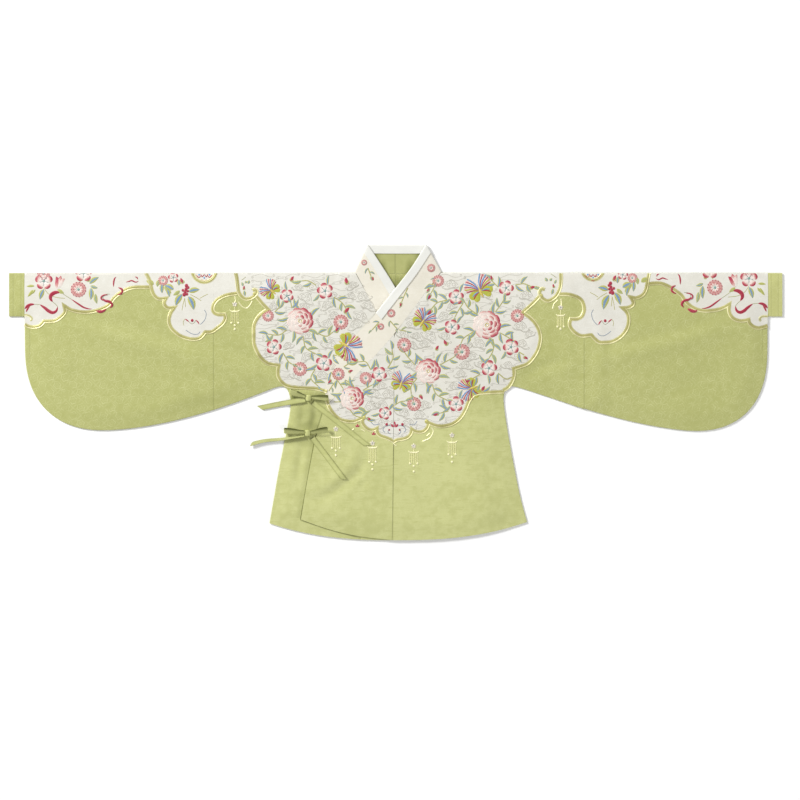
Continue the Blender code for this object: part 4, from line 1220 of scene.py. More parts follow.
def thin_sheet(points, faces, home):
    """A closed sheet on one panel, drawn in a little at its rim."""
    faces = without_scraps(points, faces)
    area = doubled_area(points, faces)
    faces[area < 0] = faces[area < 0][:, ::-1]
    used, own = np.unique(faces[np.abs(area) > SLIVER], return_inverse=True)
    own = own.reshape(-1, 3)
    plan = points[used]
    pull, count = np.zeros_like(plan), np.zeros((len(plan), 1))
    for face in own:
        pull[face] += plan[face].mean(axis=0)
        count[face] += 1
    inward = pull / count - plan
    length = np.maximum(np.linalg.norm(inward, axis=1, keepdims=True), 1e-6)
    probe = plan + inward / length * np.minimum(length, PROBE)
    layer = Layers({home: shells[home]})
    heights = np.array([layer.height(x, y) for x, y in probe])
    edges = {(a, b) for face in own for a, b in zip(face, np.roll(face, -1))}
    border = [(a, b) for a, b in edges if (b, a) not in edges]
    rim = np.unique([a for a, _ in border])
    plan[rim] -= inward[rim] / length[rim] * SEAM_DRAW
    low = np.column_stack([metres(plan), (heights + GROUND_GAP) * MM])
    total = len(plan)
    solid = [*(own + total), *own[:, ::-1]]
    solid += [(a, b, b + total, a + total) for a, b in border]
    mesh = bpy.data.meshes.new("ground_" + home)
    points = np.vstack([low, low + (0.0, 0.0, GROUND_THICK * MM)])
    mesh.from_pydata(points.tolist(), [], [[int(v) for v in face] for face in solid])
    mesh.validate()
    return in_scene(bpy.data.objects.new(mesh.name, mesh))


points, faces = plan_triangles()
seen = [layers.look(*middle) for middle in points[faces].mean(axis=1)]
grounds = {}
for home in HOMES:
    keep = [name == home and z > FRONT_ABOVE and slope > LEAST_SLOPE for name, z, slope in seen]
    grounds[home] = thin_sheet(points, faces[keep], home)
print("ground triangles:", {home: len(piece.data.polygons) for home, piece in grounds.items()})

# %% [markdown]
# ## The gilt edge
# Two couched cords of gilt thread follow the edge of the ivory ground, a matt olive-gold one on the
# ivory and a brighter one on the green. They are one strip with a modelled cross-section. The strip
# is swept along each curve, carried a little past each point and cut there along the line that
# halves the corner, which gives true mitres as a goldworker would turn them.

# %% Sweep a section along a plan curve
# across the strip in millimetres, positive towards the ivory, and height
EDGE_SECTION = (
    (-5, 0), (-4.7, 0.35), (-4.1, 0.85), (-3.4, 1.02), (-2.7, 0.85), (-2.1, 0.35), (-1.5, 0.22),
    (-1, 0.5), (-0.1, 0.78), (1.1, 0.84), (2.2, 0.7), (2.9, 0.3), (3.3, 0.26), (3.9, 0.46), (4.5, 0.4),
    (4.9, 0),
)
GILT_STEP = 2.6
MITRE_REACH = 9.0
TOUCH = 1e-5
# the strip stops just before the shoulder fold, except inside the neck
FOLD_STOP = -0.6
NECK_HALF = 112.0
MARKS = ("across", "along", "tone")


def unit(rows):
    return rows / np.maximum(np.linalg.norm(rows, axis=-1, keepdims=True), 1e-9)


def sweep(line, section):
    """Plan points with heights, and faces, of a closed strip with a section swept along a line."""
    line, section = np.asarray(line, float), np.asarray(section, float)
    way = unit(np.gradient(line, axis=0))
    left = np.column_stack([-way[:, 1], way[:, 0]])
    rings, wide = len(line), len(section)
    plan = line[:, None] + left[:, None] * section[:, :1]
    high = np.broadcast_to(section[:, 1:], (rings, wide, 1))
    at = np.arange(rings * wide).reshape(rings, wide)
    faces = []
    for one, other in zip(at, at[1:]):
        faces += [(one[c + 1], other[c + 1], other[c], one[c]) for c in range(wide - 1)]
        faces.append((one[0], other[0], other[-1], one[-1]))
    return np.concatenate([plan, high], axis=2).reshape(-1, 3), faces + [at[0], at[-1][::-1]]


def shape_of(points, faces, maps):
    """A shape whose points keep how far across and along they lie, and a tone."""
    shape = bmesh.new()
    marks = [shape.verts.layers.float.new(name) for name in MARKS]
    verts = [shape.verts.new(point) for point in points]
    for vert, values in zip(verts, maps):
        for mark, value in zip(marks, values):
            vert[mark] = value
    for face in faces:
        try:
            shape.faces.new([verts[v] for v in face])
        except ValueError:
            continue
    return shape, marks


def cut(shape, cells, corner, normal, **side):
    """Cut cells along an upright plane, leave out one side and close what opens."""
    result = bmesh.ops.bisect_plane(
        shape, geom=cells, dist=TOUCH, plane_co=(*corner, 0.0), plane_no=(*normal, 0.0), **side
    )
    rim = [item for item in result["geom_cut"] if isinstance(item, bmesh.types.BMEdge)]
    bmesh.ops.holes_fill(shape, edges=rim, sides=0)


def mitred(line, section, before, after):
    """A swept strip, cut at its ends to meet the directions of the curves before and after it."""
    first, last = unit(line[1] - line[0]), unit(line[-1] - line[-2])
    path = list(line)
    if before is not None:
        path.insert(0, line[0] - first * MITRE_REACH)
    if after is not None:
        path.append(line[-1] + last * MITRE_REACH)
    maps = [(u, 0.0, 0.0) for u, _ in section] * len(path)
    shape, marks = shape_of(*sweep(path, section), maps)
    for corner, own, other, at_start in ((line[0], first, before, True), (line[-1], last, after, False)):
        if other is None:
            continue
        close = [v for v in shape.verts if math.dist(v.co.xy, corner) < MITRE_REACH * 2.0]
        cells = {edge for v in close for edge in v.link_edges}
        cells |= {face for v in close for face in v.link_faces}
        cut(shape, [*close, *cells], corner, own + unit(other), clear_outer=not at_start,
            clear_inner=at_start)
    bmesh.ops.recalc_face_normals(shape, faces=shape.faces)
    shape.verts.index_update()
    points = [vert.co[:] for vert in shape.verts]
    faces = [[vert.index for vert in face.verts] for face in shape.faces]
    maps = np.array([[vert[mark] for mark in marks] for vert in shape.verts])
    shape.free()
    return points, faces, maps


class Pile:
    """Gathers flat solids, then lays them on the cloth as one piece."""

    def __init__(self, name, lift):
        self.name, self.lift = name, lift
        self.points, self.faces, self.maps = [], [], []

    def add(self, points, faces, maps):
        first = len(self.points)
        self.faces += [[first + v for v in face] for face in faces]
        self.points += list(points)
        self.maps += list(maps)

    def lay(self, surface):
        """Stop at the fold, then set each point on what shows below it."""
        shape, _ = shape_of(self.points, self.faces, self.maps)
        beside = [vert for vert in shape.verts if abs(vert.co.x) > NECK_HALF]
        kept = set(beside)
        for cells in (shape.edges, shape.faces):
            beside += [cell for cell in cells if kept.issuperset(cell.verts)]
        cut(shape, beside, (0.0, FOLD_STOP), (0.0, 1.0), clear_outer=True)
        bmesh.ops.recalc_face_normals(shape, faces=shape.faces)
        for vert in shape.verts:
            x, y, z = vert.co
            ground = surface.height(x, y) + self.lift
            vert.co = (x * MM, y * MM + SHOULDER, (ground + z) * MM)
        mesh = bpy.data.meshes.new(self.name)
        shape.to_mesh(mesh)
        shape.free()
        return in_scene(bpy.data.objects.new(self.name, mesh))


print("points in the strip's section:", len(EDGE_SECTION))

# %% The gilt edge
gilt = Pile("gilt_edge", 0.05)
HOOK_SIZE = 0.7
# medallions cut by the shoulder fold: centre x, y, radius, size of the band
MEDALLIONS = ((-461.7, 6.4, 28.4, 1.0), (473.0, 9.1, 25.8, 0.95))
MEDALLION_TURNS = np.radians(np.linspace(352.0, 188.0, 40))


def gild(line, size, before=None, after=None):
    section = [(u * size, z * size) for u, z in EDGE_SECTION]
    points, faces, maps = mitred(line, section, before, after)
    gilt.add(points, faces, maps / size)


lines = [smooth_line(curve, GILT_STEP) for curve in CURVES]
# whether each curve turns a sharp corner out of the one before it
corners = [False, *(one[-1] == other[0] for one, other in zip(CURVES, CURVES[1:])), False]
for number, line in enumerate(lines):
    before = lines[number - 1][-1] - lines[number - 1][-2] if corners[number] else None
    after = lines[number + 1][1] - lines[number + 1][0] if corners[number + 1] else None
    gild(line, 1.0 if number < len(lines) - HOOKS else HOOK_SIZE, before, after)
for x, y, radius, size in MEDALLIONS:
    ring = np.column_stack([np.cos(MEDALLION_TURNS), np.sin(MEDALLION_TURNS)])
    gild((x, y) + radius * ring, size)
print("gilt edge points:", len(gilt.points))

# %% Dress the ground, the gilt and the ties
GILT_BRIGHT = dye(246, 240, 186)
GILT_MATT = dye(200, 195, 124)
GILT_PALE = dye(222, 216, 168)
GILT_GAP = dye(158, 152, 92)
WRAP_PITCH = 0.0011
# across the strip: where the olive cord and the pale rim start and are full, and the dark gap
OLIVE_FROM = (-1.9, -1.2)
RIM_FROM = (2.6, 3.3)
GAP_AT = 1.7
GAP_RIM = (0.7, 0.2)
# scales and rims of shade and tarnish
GILT_SHADE = (60.0, 3.0)
SHADE_RIM = (0.6, 0.35)
TARNISH_SCALE = 11.0
TARNISH_RIM = (0.5, 0.62)


def gilt_material():
    """Gilt thread: a bright cord, a dark gap, an olive cord and a pale rim across the strip."""
    material, wires, shader, place = new_material("gilt_thread")
    across = wires.mark("across")
    wrap = wires.group(THREAD, Place=place, Pitch=WRAP_PITCH)["Thread"]
    shade = wires.noise(place, *GILT_SHADE)
    colour = wires.mix(across.ramp(*OLIVE_FROM), GILT_BRIGHT, GILT_MATT)
    colour = wires.mix(across.ramp(*RIM_FROM), colour, GILT_PALE)
    for dark in (
        abs(across + GAP_AT).ramp(*GAP_RIM) * 0.7, shade.ramp(*SHADE_RIM) * 0.35,
        wires.noise(place, TARNISH_SCALE).ramp(*TARNISH_RIM) * 0.5,
    ):
        colour = wires.mix(dark, colour, GILT_GAP)
    wires.fill(shader, {
        "Base Color": colour, "Roughness": wires.between(shade, 0.36, 0.5),
        "Normal": wires.bump(wrap * 0.8, 0.5, 0.00015), "Metallic": 0.4,
    })
    return material


gilt_piece = gilt.lay(layers)
finish_piece(gilt_piece, [gilt_material()], 50)
for piece in grounds.values():
    finish_piece(piece, [IVORY], 50)
for tie in [*ties.values(), *knot_turns]:
    finish_piece(tie, [TIE_GREEN])
print("gilt triangles:", len(gilt_piece.data.polygons) * 2)

# %% [markdown]
# ## Satin stitch
# Each petal, leaf and ribbon turn is a patch of satin stitch, a low cushion of silk. One cushion is
# made from a sphere with its poles at its two ends and flattened, and every patch is a copy of it
# that is bent along its own line and given its own width. Stems and clouds are couched threads,
# which are swept strips. Each patch keeps how far across and along it a point lies, and a tone.

# %% One cushion to copy, in three finenesses
def cushion(segments, rings):
    """A sphere with its poles on y, as places across, along and up, and its faces."""
    bpy.ops.object.select_all(action="DESELECT")
    bpy.ops.mesh.primitive_uv_sphere_add(
        segments=segments, ring_count=rings, radius=1.0, rotation=(math.pi / 2, 0.0, 0.0)
    )
    ball = bpy.context.object
    bpy.ops.object.transform_apply(location=False, rotation=True, scale=False)
    bpy.ops.object.mode_set(mode="EDIT")
    bpy.ops.mesh.select_all(action="SELECT")
    bpy.ops.mesh.normals_make_consistent(inside=False)
    bpy.ops.object.mode_set(mode="OBJECT")
    x, y, z = points_of(ball).T
    faces = [tuple(face.vertices) for face in ball.data.polygons]
    bpy.data.objects.remove(ball)
    round_here = np.sqrt(np.maximum(1.0 - y ** 2, 1e-9))
    across = np.clip(x / round_here, -1.0, 1.0)
    up = np.clip(z / round_here, 0.0, 1.0)
    poles = np.abs(y) > 0.9999
    across[poles] = up[poles] = 0.0
    return across, (y + 1.0) / 2.0, up, faces


SEED = cushion(6, 5)
PATCH = cushion(8, 8)
LONG = cushion(8, 22)
PATCH_STEP = 1.0
THREAD_STEP = 2.6
# where along it a petal is widest, and where its foot is full
WIDEST = 0.68
FOOT = 0.06


def seed_shape(v):
    return np.sqrt(np.maximum(1.0 - (2.0 * v - 1.0) ** 2, 0.0))


def leaf_shape(v):
    return np.sin(math.pi * v ** 0.85) ** 0.85


def petal_shape(v):
    rise = 0.3 + 0.7 * np.sin(math.pi / 2 * np.clip(v / WIDEST, 0.0, 1.0))
    end = np.sqrt(1.0 - np.clip((v - WIDEST) / (1.0 - WIDEST), 0.0, 1.0) ** 2)
    return rise * end * np.sqrt(np.clip(v / FOOT, 0.0, 1.0))


def stroke_shape(v):
    return np.sin(math.pi * v) ** 0.55


piles = {
    "petals": Pile("stitched_petals", 0.03),
    "leaves": Pile("stitched_leaves", 0.03),
    "wings": Pile("stitched_wings", 0.03),
    "lines": Pile("couched_lines", 0.02),
    "gold": Pile("gold_stitches", 0.03),
}


def patch(pile, template, path, width, height, shape, tones, bias=1.0):
    """Bend a cushion along a path, with one tone or one at each end."""
    across, along, up, faces = template
    line = smooth_line(path, PATCH_STEP)
    run = lengths(line)
    at = along * run[-1]
    way = unit(read_at(at, run, np.gradient(line, axis=0)))
    right = np.column_stack([way[:, 1], -way[:, 0]])
    size = shape(along)
    plan = read_at(at, run, line) + right * (across * size * width / 2)[:, None]
    high = up * np.sqrt(np.clip(size, 0.0, 1.0)) * height
    first, last = np.broadcast_to(tones, 2)
    tone = first + (last - first) * along ** bias
    piles[pile].add(np.column_stack([plan, high]), faces, np.column_stack([across, at, tone]))


def couch(pile, path, width, tone, height=0.45, step=THREAD_STEP):
    """Couch a thread along a path."""
    line = smooth_line(path, step)
    half = width / 2
    points, faces = sweep(line, ((-half, 0.0), (0.0, height), (half, 0.0)))
    maps = [(side, number * step, tone) for number in range(len(line)) for side in (-1, 0, 1)]
    piles[pile].add(points, faces, maps)


def arrow(x, y, turn, run):
    """The point at a distance and a turn in degrees from another."""
    angle = math.radians(turn)
    return x + math.cos(angle) * run, y + math.sin(angle) * run


def ray(x, y, turn, near, far):
    """Two points at one turn from another, near and far."""
    return [arrow(x, y, turn, near), arrow(x, y, turn, far)]


def bent(foot, tip, bend):
    """Foot, a middle moved to one side, and tip."""
    foot, tip = np.array(foot, float), np.array(tip, float)
    way = tip - foot
    side = np.array([-way[1], way[0]]) * 0.2 * bend
    return [foot, (foot + tip) / 2 + side, tip]


print("cushion faces:", [len(template[3]) for template in (SEED, PATCH, LONG)])

# %% [markdown]
# ## Flowers, leaves and butterflies
# These are the ordinary motifs of such dress. Five-petal blossoms are white with crimson tips,
# asters are salmon rays round a grey eye, peonies are three rounds of petals, and leaves have a
# blue middle and an olive edge. Leaves and buds are only placed where ivory shows, so that none
# hangs over the gilt edge.

# %% The motifs
surface = Layers({**covers, **{piece.name: piece for piece in grounds.values()}})
taken = []
# petals in a round, outer and inner reach, width and tones of a peony's three rounds
PEONY_ROUNDS = (
    (9, 1.0, 0.42, 0.72, (0.0, 1.0)), (7, 0.72, 0.2, 0.62, (0.0, 0.9)),
    (5, 0.46, 0.05, 0.46, (0.2, 1.0)),
)
# rays in a round, inner and outer reach, width, height and tones, then the dots between them:
# reach, radius, tone and height
ASTER_ROUNDS = (
    (15, 0.3, 1.0, 0.36, 0.5, (0.6, 0.58), (0.94, 0.08, 0.9, 0.7)),
    (9, 0.2, 0.66, 0.28, 0.75, (0.3, 0.62), (0.62, 0.07, 0.72, 0.9)),
)
# turn from the body's line, reach, width, pile, tones of the stripes of a butterfly's wing
WING = (
    (36, 0.95, 0.5, "petals", (0.05, 0.6)), (58, 0.9, 0.42, "petals", (0.05, 0.62)),
    (24, 1.02, 0.1, "wings", (0, 0.1)), (34, 0.98, 0.08, "petals", (0.95, 1)),
    (44, 1, 0.1, "wings", (0, 0.1)), (54, 0.94, 0.08, "petals", (0.9, 1)),
    (64, 0.9, 0.1, "wings", (0.55, 0.8)), (74, 0.8, 0.08, "petals", (0.9, 1)),
    (108, 0.72, 0.46, "wings", (0.55, 0.7)), (138, 0.66, 0.36, "wings", (0.6, 0.72)),
    (118, 0.6, 0.09, "petals", (0.95, 1)), (104, 0.56, 0.08, "wings", (0, 0)),
)
# side, reach and tones of a lotus bud's petals
LOTUS_PETALS = ((-1, 0.92, (0.05, 0.62)), (1, 0.92, (0.4, 1.0)), (0, 1.0, (0.0, 0.75)))


def on_ivory(*spots):
    """Whether every spot lies on the ivory ground or the collar, inside the gilt edge."""
    for spot in spots:
        name = surface.look(*spot)[0]
        if name == "collar":
            continue
        if name is None or not name.startswith("ground_") or not inside(np.array([spot]), outline)[0]:
            return False
    return True


def leaf(foot, tip, width, bend, tone):
    foot, tip = np.array(foot, float), np.array(tip, float)
    middle = (foot + tip) / 2
    if on_ivory(middle, tip * 1.2 - foot * 0.2):
        patch("leaves", PATCH, bent(foot, tip, bend), width, 0.5, leaf_shape, tone)
        taken.append(middle)


def seed(x, y, radius, tone, height=0.8, pile="petals"):
    path = [(x, y - radius), (x, y + radius)]
    patch(pile, SEED, path, 2 * radius, height, seed_shape, tone)


def blossom(x, y, radius, turn, leaves=2):
    for k in range(leaves):
        angle = turn + 36 + 144 * k
        leaf(arrow(x, y, angle, radius * 0.8), arrow(x, y, angle + 10, radius + 19), 7.5, 0.5, 0.3 * k)
    for angle in range(turn, turn + 360, 72):
        petal = ray(x, y, angle, radius * 0.1, radius)
        patch("petals", PATCH, petal, radius * 0.76, 0.6, petal_shape, (0.0, 1.05), 1.35)
        couch("lines", ray(x, y, angle + 36, 1.0, radius * 0.45), 0.9, 1.0, 0.95)
        seed(*arrow(x, y, angle + 36, radius * 0.46), 1.0, 0.3, 1.1, "wings")
    seed(x, y, radius * 0.16, 0.3, 1.1, "wings")
    taken.append((x, y))


def aster(x, y, radius):
    for count, near, far, wide, rise, tones, (reach, size, tone, high) in ASTER_ROUNDS:
        for k in range(count):
            angle = 360 // count * k
            petal = ray(x, y, angle, radius * near, radius * far)
            patch("petals", SEED, petal, radius * wide, rise, petal_shape, tones)
            beside = arrow(x, y, angle + 180 // count, radius * reach)
            seed(*beside, radius * size, tone, high)
    seed(x, y, radius * 0.18, 0.3, 1.0, "wings")
    taken.append((x, y))


def peony(x, y, radius, turn):
    for k in range(5):
        angle = turn + 72 * k
        leaf(arrow(x, y, angle, radius * 0.85), arrow(x, y, angle + 14, radius + 25), 9.0, 0.6, 0.15 * k)
    for number, (count, outer, inner, wide, tones) in enumerate(PEONY_ROUNDS):
        for k in range(count):
            angle = turn + 360 / count * k + 17 * number
            blush = 0.74 + 0.26 * math.cos(math.radians(angle - turn))
            patch("petals", PATCH, bent(*ray(x, y, angle, radius * inner, radius * outer), 0.35),
                  radius * wide, 0.55 + 0.25 * number, petal_shape, (tones[0], tones[1] * blush))
    for k in range(6):
        seed(*arrow(x, y, turn + 60 * k, radius * 0.12), radius * 0.05, 0.9, 1.4, "wings")
    taken.extend([(x, y), (x - 15, y), (x + 15, y), (x, y - 15), (x, y + 15)])


def bud(x, y, length, turn):
    tip = arrow(x, y, turn, length)
    if not on_ivory((x, y), tip):
        return
    patch("petals", PATCH, bent((x, y), tip, 0.3), length * 0.55, 0.65, leaf_shape, (0.72, 1.0))
    foot = arrow(x, y, turn + 180, length * 0.15)
    for way in (-1, 1):
        leaf(foot, arrow(x, y, turn + 28 * way, length * 0.55), length * 0.24, way, 0.8)
    taken.append((x, y))


def point_bud(x, y, length, turn):
    """Three small petals that open from one point, at the points of the cloud collar."""
    for way in (-1, 0, 1):
        tip = arrow(x, y, turn + 52 * way, length * (1.0 - 0.2 * abs(way)))
        path = bent((x, y), tip, 0.4 * way)
        patch("petals", PATCH, path, length * 0.46, 0.6, leaf_shape, (0.7, 1.0))
    taken.append((x, y))


def lotus(x, y, length, turn):
    for way, reach, tones in LOTUS_PETALS:
        path = bent((x, y), arrow(x, y, turn + 20 * way, length * reach), -0.6 * way)
        patch("petals", PATCH, path, length * 0.44, 0.6, leaf_shape, tones)
    taken.append((x, y))


def branch(path, length=27.0, width=8.6, gap=12.5):
    """A stem with leaves to its two sides, the last one at its end."""
    couch("lines", path, 2.6, 0.3, 0.5)
    line = smooth_line(path, gap)
    last = len(line) - 1
    for k, (x, y) in enumerate(line):
        way = line[min(k + 1, last)] - line[max(k - 1, 0)]
        side = 1 if k % 2 else -1
        turn = math.degrees(math.atan2(way[1], way[0])) + (0 if k == last else 46 * side)
        tip = arrow(x, y, turn, length * (1.0 - 0.1 * (k % 3)))
        leaf((x, y), tip, width, 0.6 * side, 0.2 * (k % 4))


def butterfly(x, y, size, turn):
    for way in (-1, 1):
        for angle, reach, wide, pile, tones in WING:
            path = bent(*ray(x, y, turn + way * angle, size * 0.07, size * reach), -0.4 * way)
            patch(pile, PATCH, path, size * wide, 0.5 if wide > 0.2 else 0.95, petal_shape, tones)
        feeler = [arrow(x, y, turn + a * way, size * b) for a, b in ((0, 0.3), (12, 0.6), (26, 0.8))]
        couch("lines", feeler, 1.0, 1.0, 0.5)
    body = [arrow(x, y, turn + 180, size * 0.42), arrow(x, y, turn, size * 0.34)]
    patch("wings", PATCH, body, size * 0.16, 1.2, leaf_shape, 1.0)
    taken.extend([arrow(x, y, turn + 50 * way, size * 0.6) for way in (-1, 0, 1)])


print("stripes of a wing:", len(WING))

# %% Where the motifs lie
# path, width, tone and height of ribbon turns on the wearer's left sleeve
RIBBON_STROKES = (
    (((893, -85), (887, -78), (879, -74), (870, -73)), 5.8, 1, 0.6),
    (((881, -77), (886, -84), (890, -93)), 3.8, 0.95, 0.6),
    (((857, -74), (845, -83), (836, -91), (826, -95), (818, -90), (815, -80)), 6.7, 1, 0.6),
    (((827, -67), (832, -58), (830, -49), (821, -43), (808, -42)), 8.2, 1, 0.6),
    (((783, -60), (767, -72), (754, -81), (742, -85), (734, -85)), 3.6, 1, 0.6),
    (((725, -90), (713, -92), (700, -86)), 6.7, 0.9, 1.5),
    (((691, -83), (686, -75), (692, -67), (703, -64), (709, -58)), 5.8, 1, 1.5),
    (((672, -30), (664, -34), (662, -41), (667, -47), (675, -49)), 4.8, 0.95, 1.5),
    (((703, -64), (711, -61), (712, -54), (704, -49), (696, -49)), 3.1, 0.9, 1.5),
    (((677, -2), (681, -7), (683, -17), (683, -28)), 3.4, 1, 0.6),
    (((624, -13), (631, -16), (640, -12), (647, -14), (654, -16)), 2.9, 1, 0.6),
    (((626, -9), (628, -4), (633, -2)), 2.4, 0.95, 0.6),
    (((486, -125), (489, -119), (494, -114)), 2.6, 0.9, 0.6),
    (((509, -119), (513, -115), (518, -111)), 2.6, 0.9, 0.6),
)
# fine lines: path, width, tone
SLEEVE_LINES = (
    (((815, -80), (819, -74), (827, -67)), 1.4, 0.5), (((808, -42), (796, -51), (783, -60)), 1.4, 0.5),
    (((870, -73), (857, -74)), 1.4, 0.5), (((708, -59), (707, -52), (700, -47), (692, -47)), 1.4, 0.6),
    (((474, -88), (470, -95), (470, -103), (473, -113), (480, -122), (484, -125)), 1.4, 1),
    (((484, -144), (489, -150), (498, -151), (507, -147), (516, -140)), 1.4, 1),
    (((494, -114), (497, -120), (502, -124), (507, -121), (509, -119)), 1.2, 0.6),
    (((518, -111), (522, -118), (521, -128)), 1.2, 0.3),
    (((519, -57), (518, -67), (517, -80)), 1.4, 0.3), (((519, -58), (523, -75), (525, -89)), 1.4, 0.3),
    (((485, -58), (476, -52), (466, -47)), 1.4, 0.3), (((506, -48), (494, -55), (482, -64)), 1.4, 0.3),
    (((372, -2), (378, -6), (385, -11)), 1.4, 0.5), (((762, -15), (758, -9), (761, -2)), 1.4, 0.3),
    (((848, -31), (837, -46), (820, -55), (798, -58)), 1.4, 0.3),
)
# leaves: foot, tip, width, bend, tone from blue to olive
SLEEVE_LEAVES = (
    ((848, -34), (857, -61), 12.6, 0.24, 0.2), ((740, -20), (718, -3), 11.9, -0.36, 0.3),
    ((738, -25), (720, -31), 8.4, 0.3, 0.5), ((737, -31), (737, -62), 12.6, -0.3, 0.2),
    ((726, -46), (722, -72), 9.8, 0.3, 0.7), ((870, -26), (889, -27), 6.3, 0.18, 0.95),
    ((874, -36), (886, -54), 7, -0.24, 0.95), ((868, -35), (879, -48), 5.6, -0.24, 0.9),
    ((510, -41), (485, -35), 14, -0.3, 0.15), ((511, -53), (498, -88), 16.7, -0.42, 0.15),
    ((525, -47), (539, -77), 15.4, 0.36, 0.15), ((570, -19), (570, -45), 10.5, 0.18, 0.1),
    ((577, -10), (581, -28), 9.8, 0.18, 0.8), ((533, -9), (532, -25), 9.8, -0.18, 0.3),
    ((530, -38), (545, -50), 9.1, -0.24, 0.85), ((364, -20), (358, -11), 7.7, 0.18, 0.5),
    ((369, -19), (375, -13), 7, 0.18, 0.5), ((377, -38), (373, -52), 7.7, 0.24, 0.5),
    ((381, -26), (385, -16), 6.6, 0.18, 0.5), ((544, -35), (565, -24), 14.7, 0.24, 0.15),
    ((558, -48), (575, -61), 11.2, -0.18, 0.9), ((589, -22), (606, -12), 11.9, 0.24, 0.9),
    ((815, -35), (800, -45), 9.1, 0.24, 0.9), ((565, -24), (549, -45), 11.2, 0.18, 0.85),
    ((582, -22), (594, -43), 10.5, -0.18, 0.85), ((601, -24), (611, -41), 8.4, 0.18, 0.9),
    ((561, -26), (553, -55), 10.5, -0.18, 0.15),
)
# blossoms, asters, buds and lotus buds: x, y, radius or length, and turn
SLEEVE_BLOSSOMS = ((848, -13, 21.7, 90), (754, 8, 22.6, 90), (545, -4, 13, 80))
SLEEVE_ASTERS = ((766, -35, 18.8), (568, -12, 12), (849, 6, 15.4))
SLEEVE_BUDS = ((523, -18, 13.5, 66), (379, -35, 9.1, 100), (742, -13, 11.1, 60))
SLEEVE_LOTUS = ((816, -35, 34.6, 104),)
SLEEVE_BERRIES = (
    (515, -25, 4.8), (516, -34, 4.3), (518, -41, 4.3), (520, -48, 5.1), (511, -30, 3.6),
    (512, -39, 3.4), (523, -37, 3.6), (514, -47, 3.8), (502, -115, 3.8),
)
# the chest's own layout
PEONIES = ((-231, -115, 32, 20), (218, -125, 34, -15), (77, -236, 30, 40), (-106, -301, 29, 10))
BLOSSOMS = (
    (-171, -43, 20, 30), (-294, -178, 19, 75), (-174, -217, 20, 10), (-263, -55, 17, 50),
    (276, -178, 20, 40), (264, -36, 19, 70), (144, -58, 19, 15), (223, -229, 20, 80),
    (144, -315, 19, 20), (-41, -243, 19, 55), (-27, -337, 16, 0), (134, -130, 19, 0),
)
ASTERS = (
    (-231, -231, 17), (-133, -118, 18), (291, -103, 16), (158, -190, 19), (43, -315, 17),
    (-73, -253, 15), (101, -19, 14), (-308, -103, 14), (19, -173, 17),
)
# x, y, half span, turn
BUTTERFLIES = (
    (-123, -173, 43, -30), (64, -118, 36, 60), (202, -43, 43, 115), (12, -267, 34, 75),
    (182, -277, 36, 200), (-299, -43, 31, 140),
)
# stems that carry leaves on both sides
BRANCHES = (
    ((-200, -140), (-169, -152), (-152, -142)), ((-263, -137), (-282, -149), (-308, -147)),
    ((-224, -152), (-217, -180), (-193, -195)), ((-251, -84), (-253, -72)),
    ((-150, -58), (-130, -72), (-118, -91)), ((-193, -29), (-212, -19), (-227, -19)),
    ((-157, -238), (-140, -260), (-128, -277)), ((-195, -231), (-205, -253), (-188, -272)),
    ((-272, -192), (-260, -212), (-251, -219)), ((187, -140), (163, -156), (156, -168)),
    ((250, -144), (271, -156)), ((233, -159), (233, -185), (223, -205)),
    ((194, -99), (173, -84), (166, -72)), ((238, -94), (252, -75), (262, -58)),
    ((122, -65), (98, -72), (84, -87)), ((161, -72), (149, -91), (141, -106)),
    ((202, -243), (182, -255)), ((245, -241), (264, -255), (279, -250)),
    ((105, -221), (127, -209), (139, -202)), ((50, -253), (36, -272), (36, -291)),
    ((86, -267), (96, -291), (122, -306)), ((166, -303), (187, -298), (206, -286)),
    ((45, -221), (28, -202), (21, -192)), ((-20, -229), (-8, -205), (-10, -185)),
    ((-80, -282), (-58, -269)), ((-133, -310), (-150, -310)), ((-111, -330), (-97, -344), (-73, -349)),
    ((-10, -322), (9, -310), (21, -308)), ((295, -190), (307, -197)), ((245, -34), (230, -19)),
    ((286, -29), (307, -26), (327, -34)), ((-292, -94), (-277, -79), (-270, -72)),
    ((125, -332), (105, -337)), ((-61, -233), (-73, -214), (-92, -214)), ((93, -31), (84, -48)),
    ((-152, -197), (-135, -200)),
)
# x, y, length, turn
BUDS = (
    (-123, -96, 16, 50), (-118, -26, 16, 100), (-253, -19, 13, 60), (-145, -142, 14, 60),
    (-188, -274, 14, 300), (84, -89, 16, 230), (322, -36, 13, 10), (230, -17, 12, 100),
    (271, -159, 13, 330), (281, -248, 16, 30), (206, -284, 14, 60), (178, -257, 14, 200),
    (-94, -212, 14, 150), (-70, -349, 12, 330), (101, -337, 14, 200), (81, -51, 14, 250),
    (-133, -202, 12, 20), (57, -294, 12, 300), (307, -202, 11, 330), (122, -173, 14, 120),
    (96, -185, 12, 60),
)
# small flowers, stems and buds on the collar
COLLAR_ASTERS = ((-77, 25, 7), (84, 12, 10), (-12, -97, 10), (-139, -243, 15), (-37, -129, 8))
COLLAR_BRANCHES = (
    ((28, -36), (20, -53), (13, -70)), ((98, -14), (81, -36)), ((-68, 12), (-61, -7)),
    ((-41, -118), (-58, -137)), ((-15, -115), (4, -135), (24, -140)),
    ((-123, -257), (-104, -269), (-97, -289)), ((-126, -226), (-106, -212)),
    ((-150, -265), (-162, -284)),
)
COLLAR_BUDS = (
    (-44, -125, 10, 300), (12, -72, 10, 250), (-58, -10, 9, 290), (-114, -238, 11, 20),
    (-157, -257, 11, 230), (-25, -72, 11, 60), (79, -38, 9, 230),
)
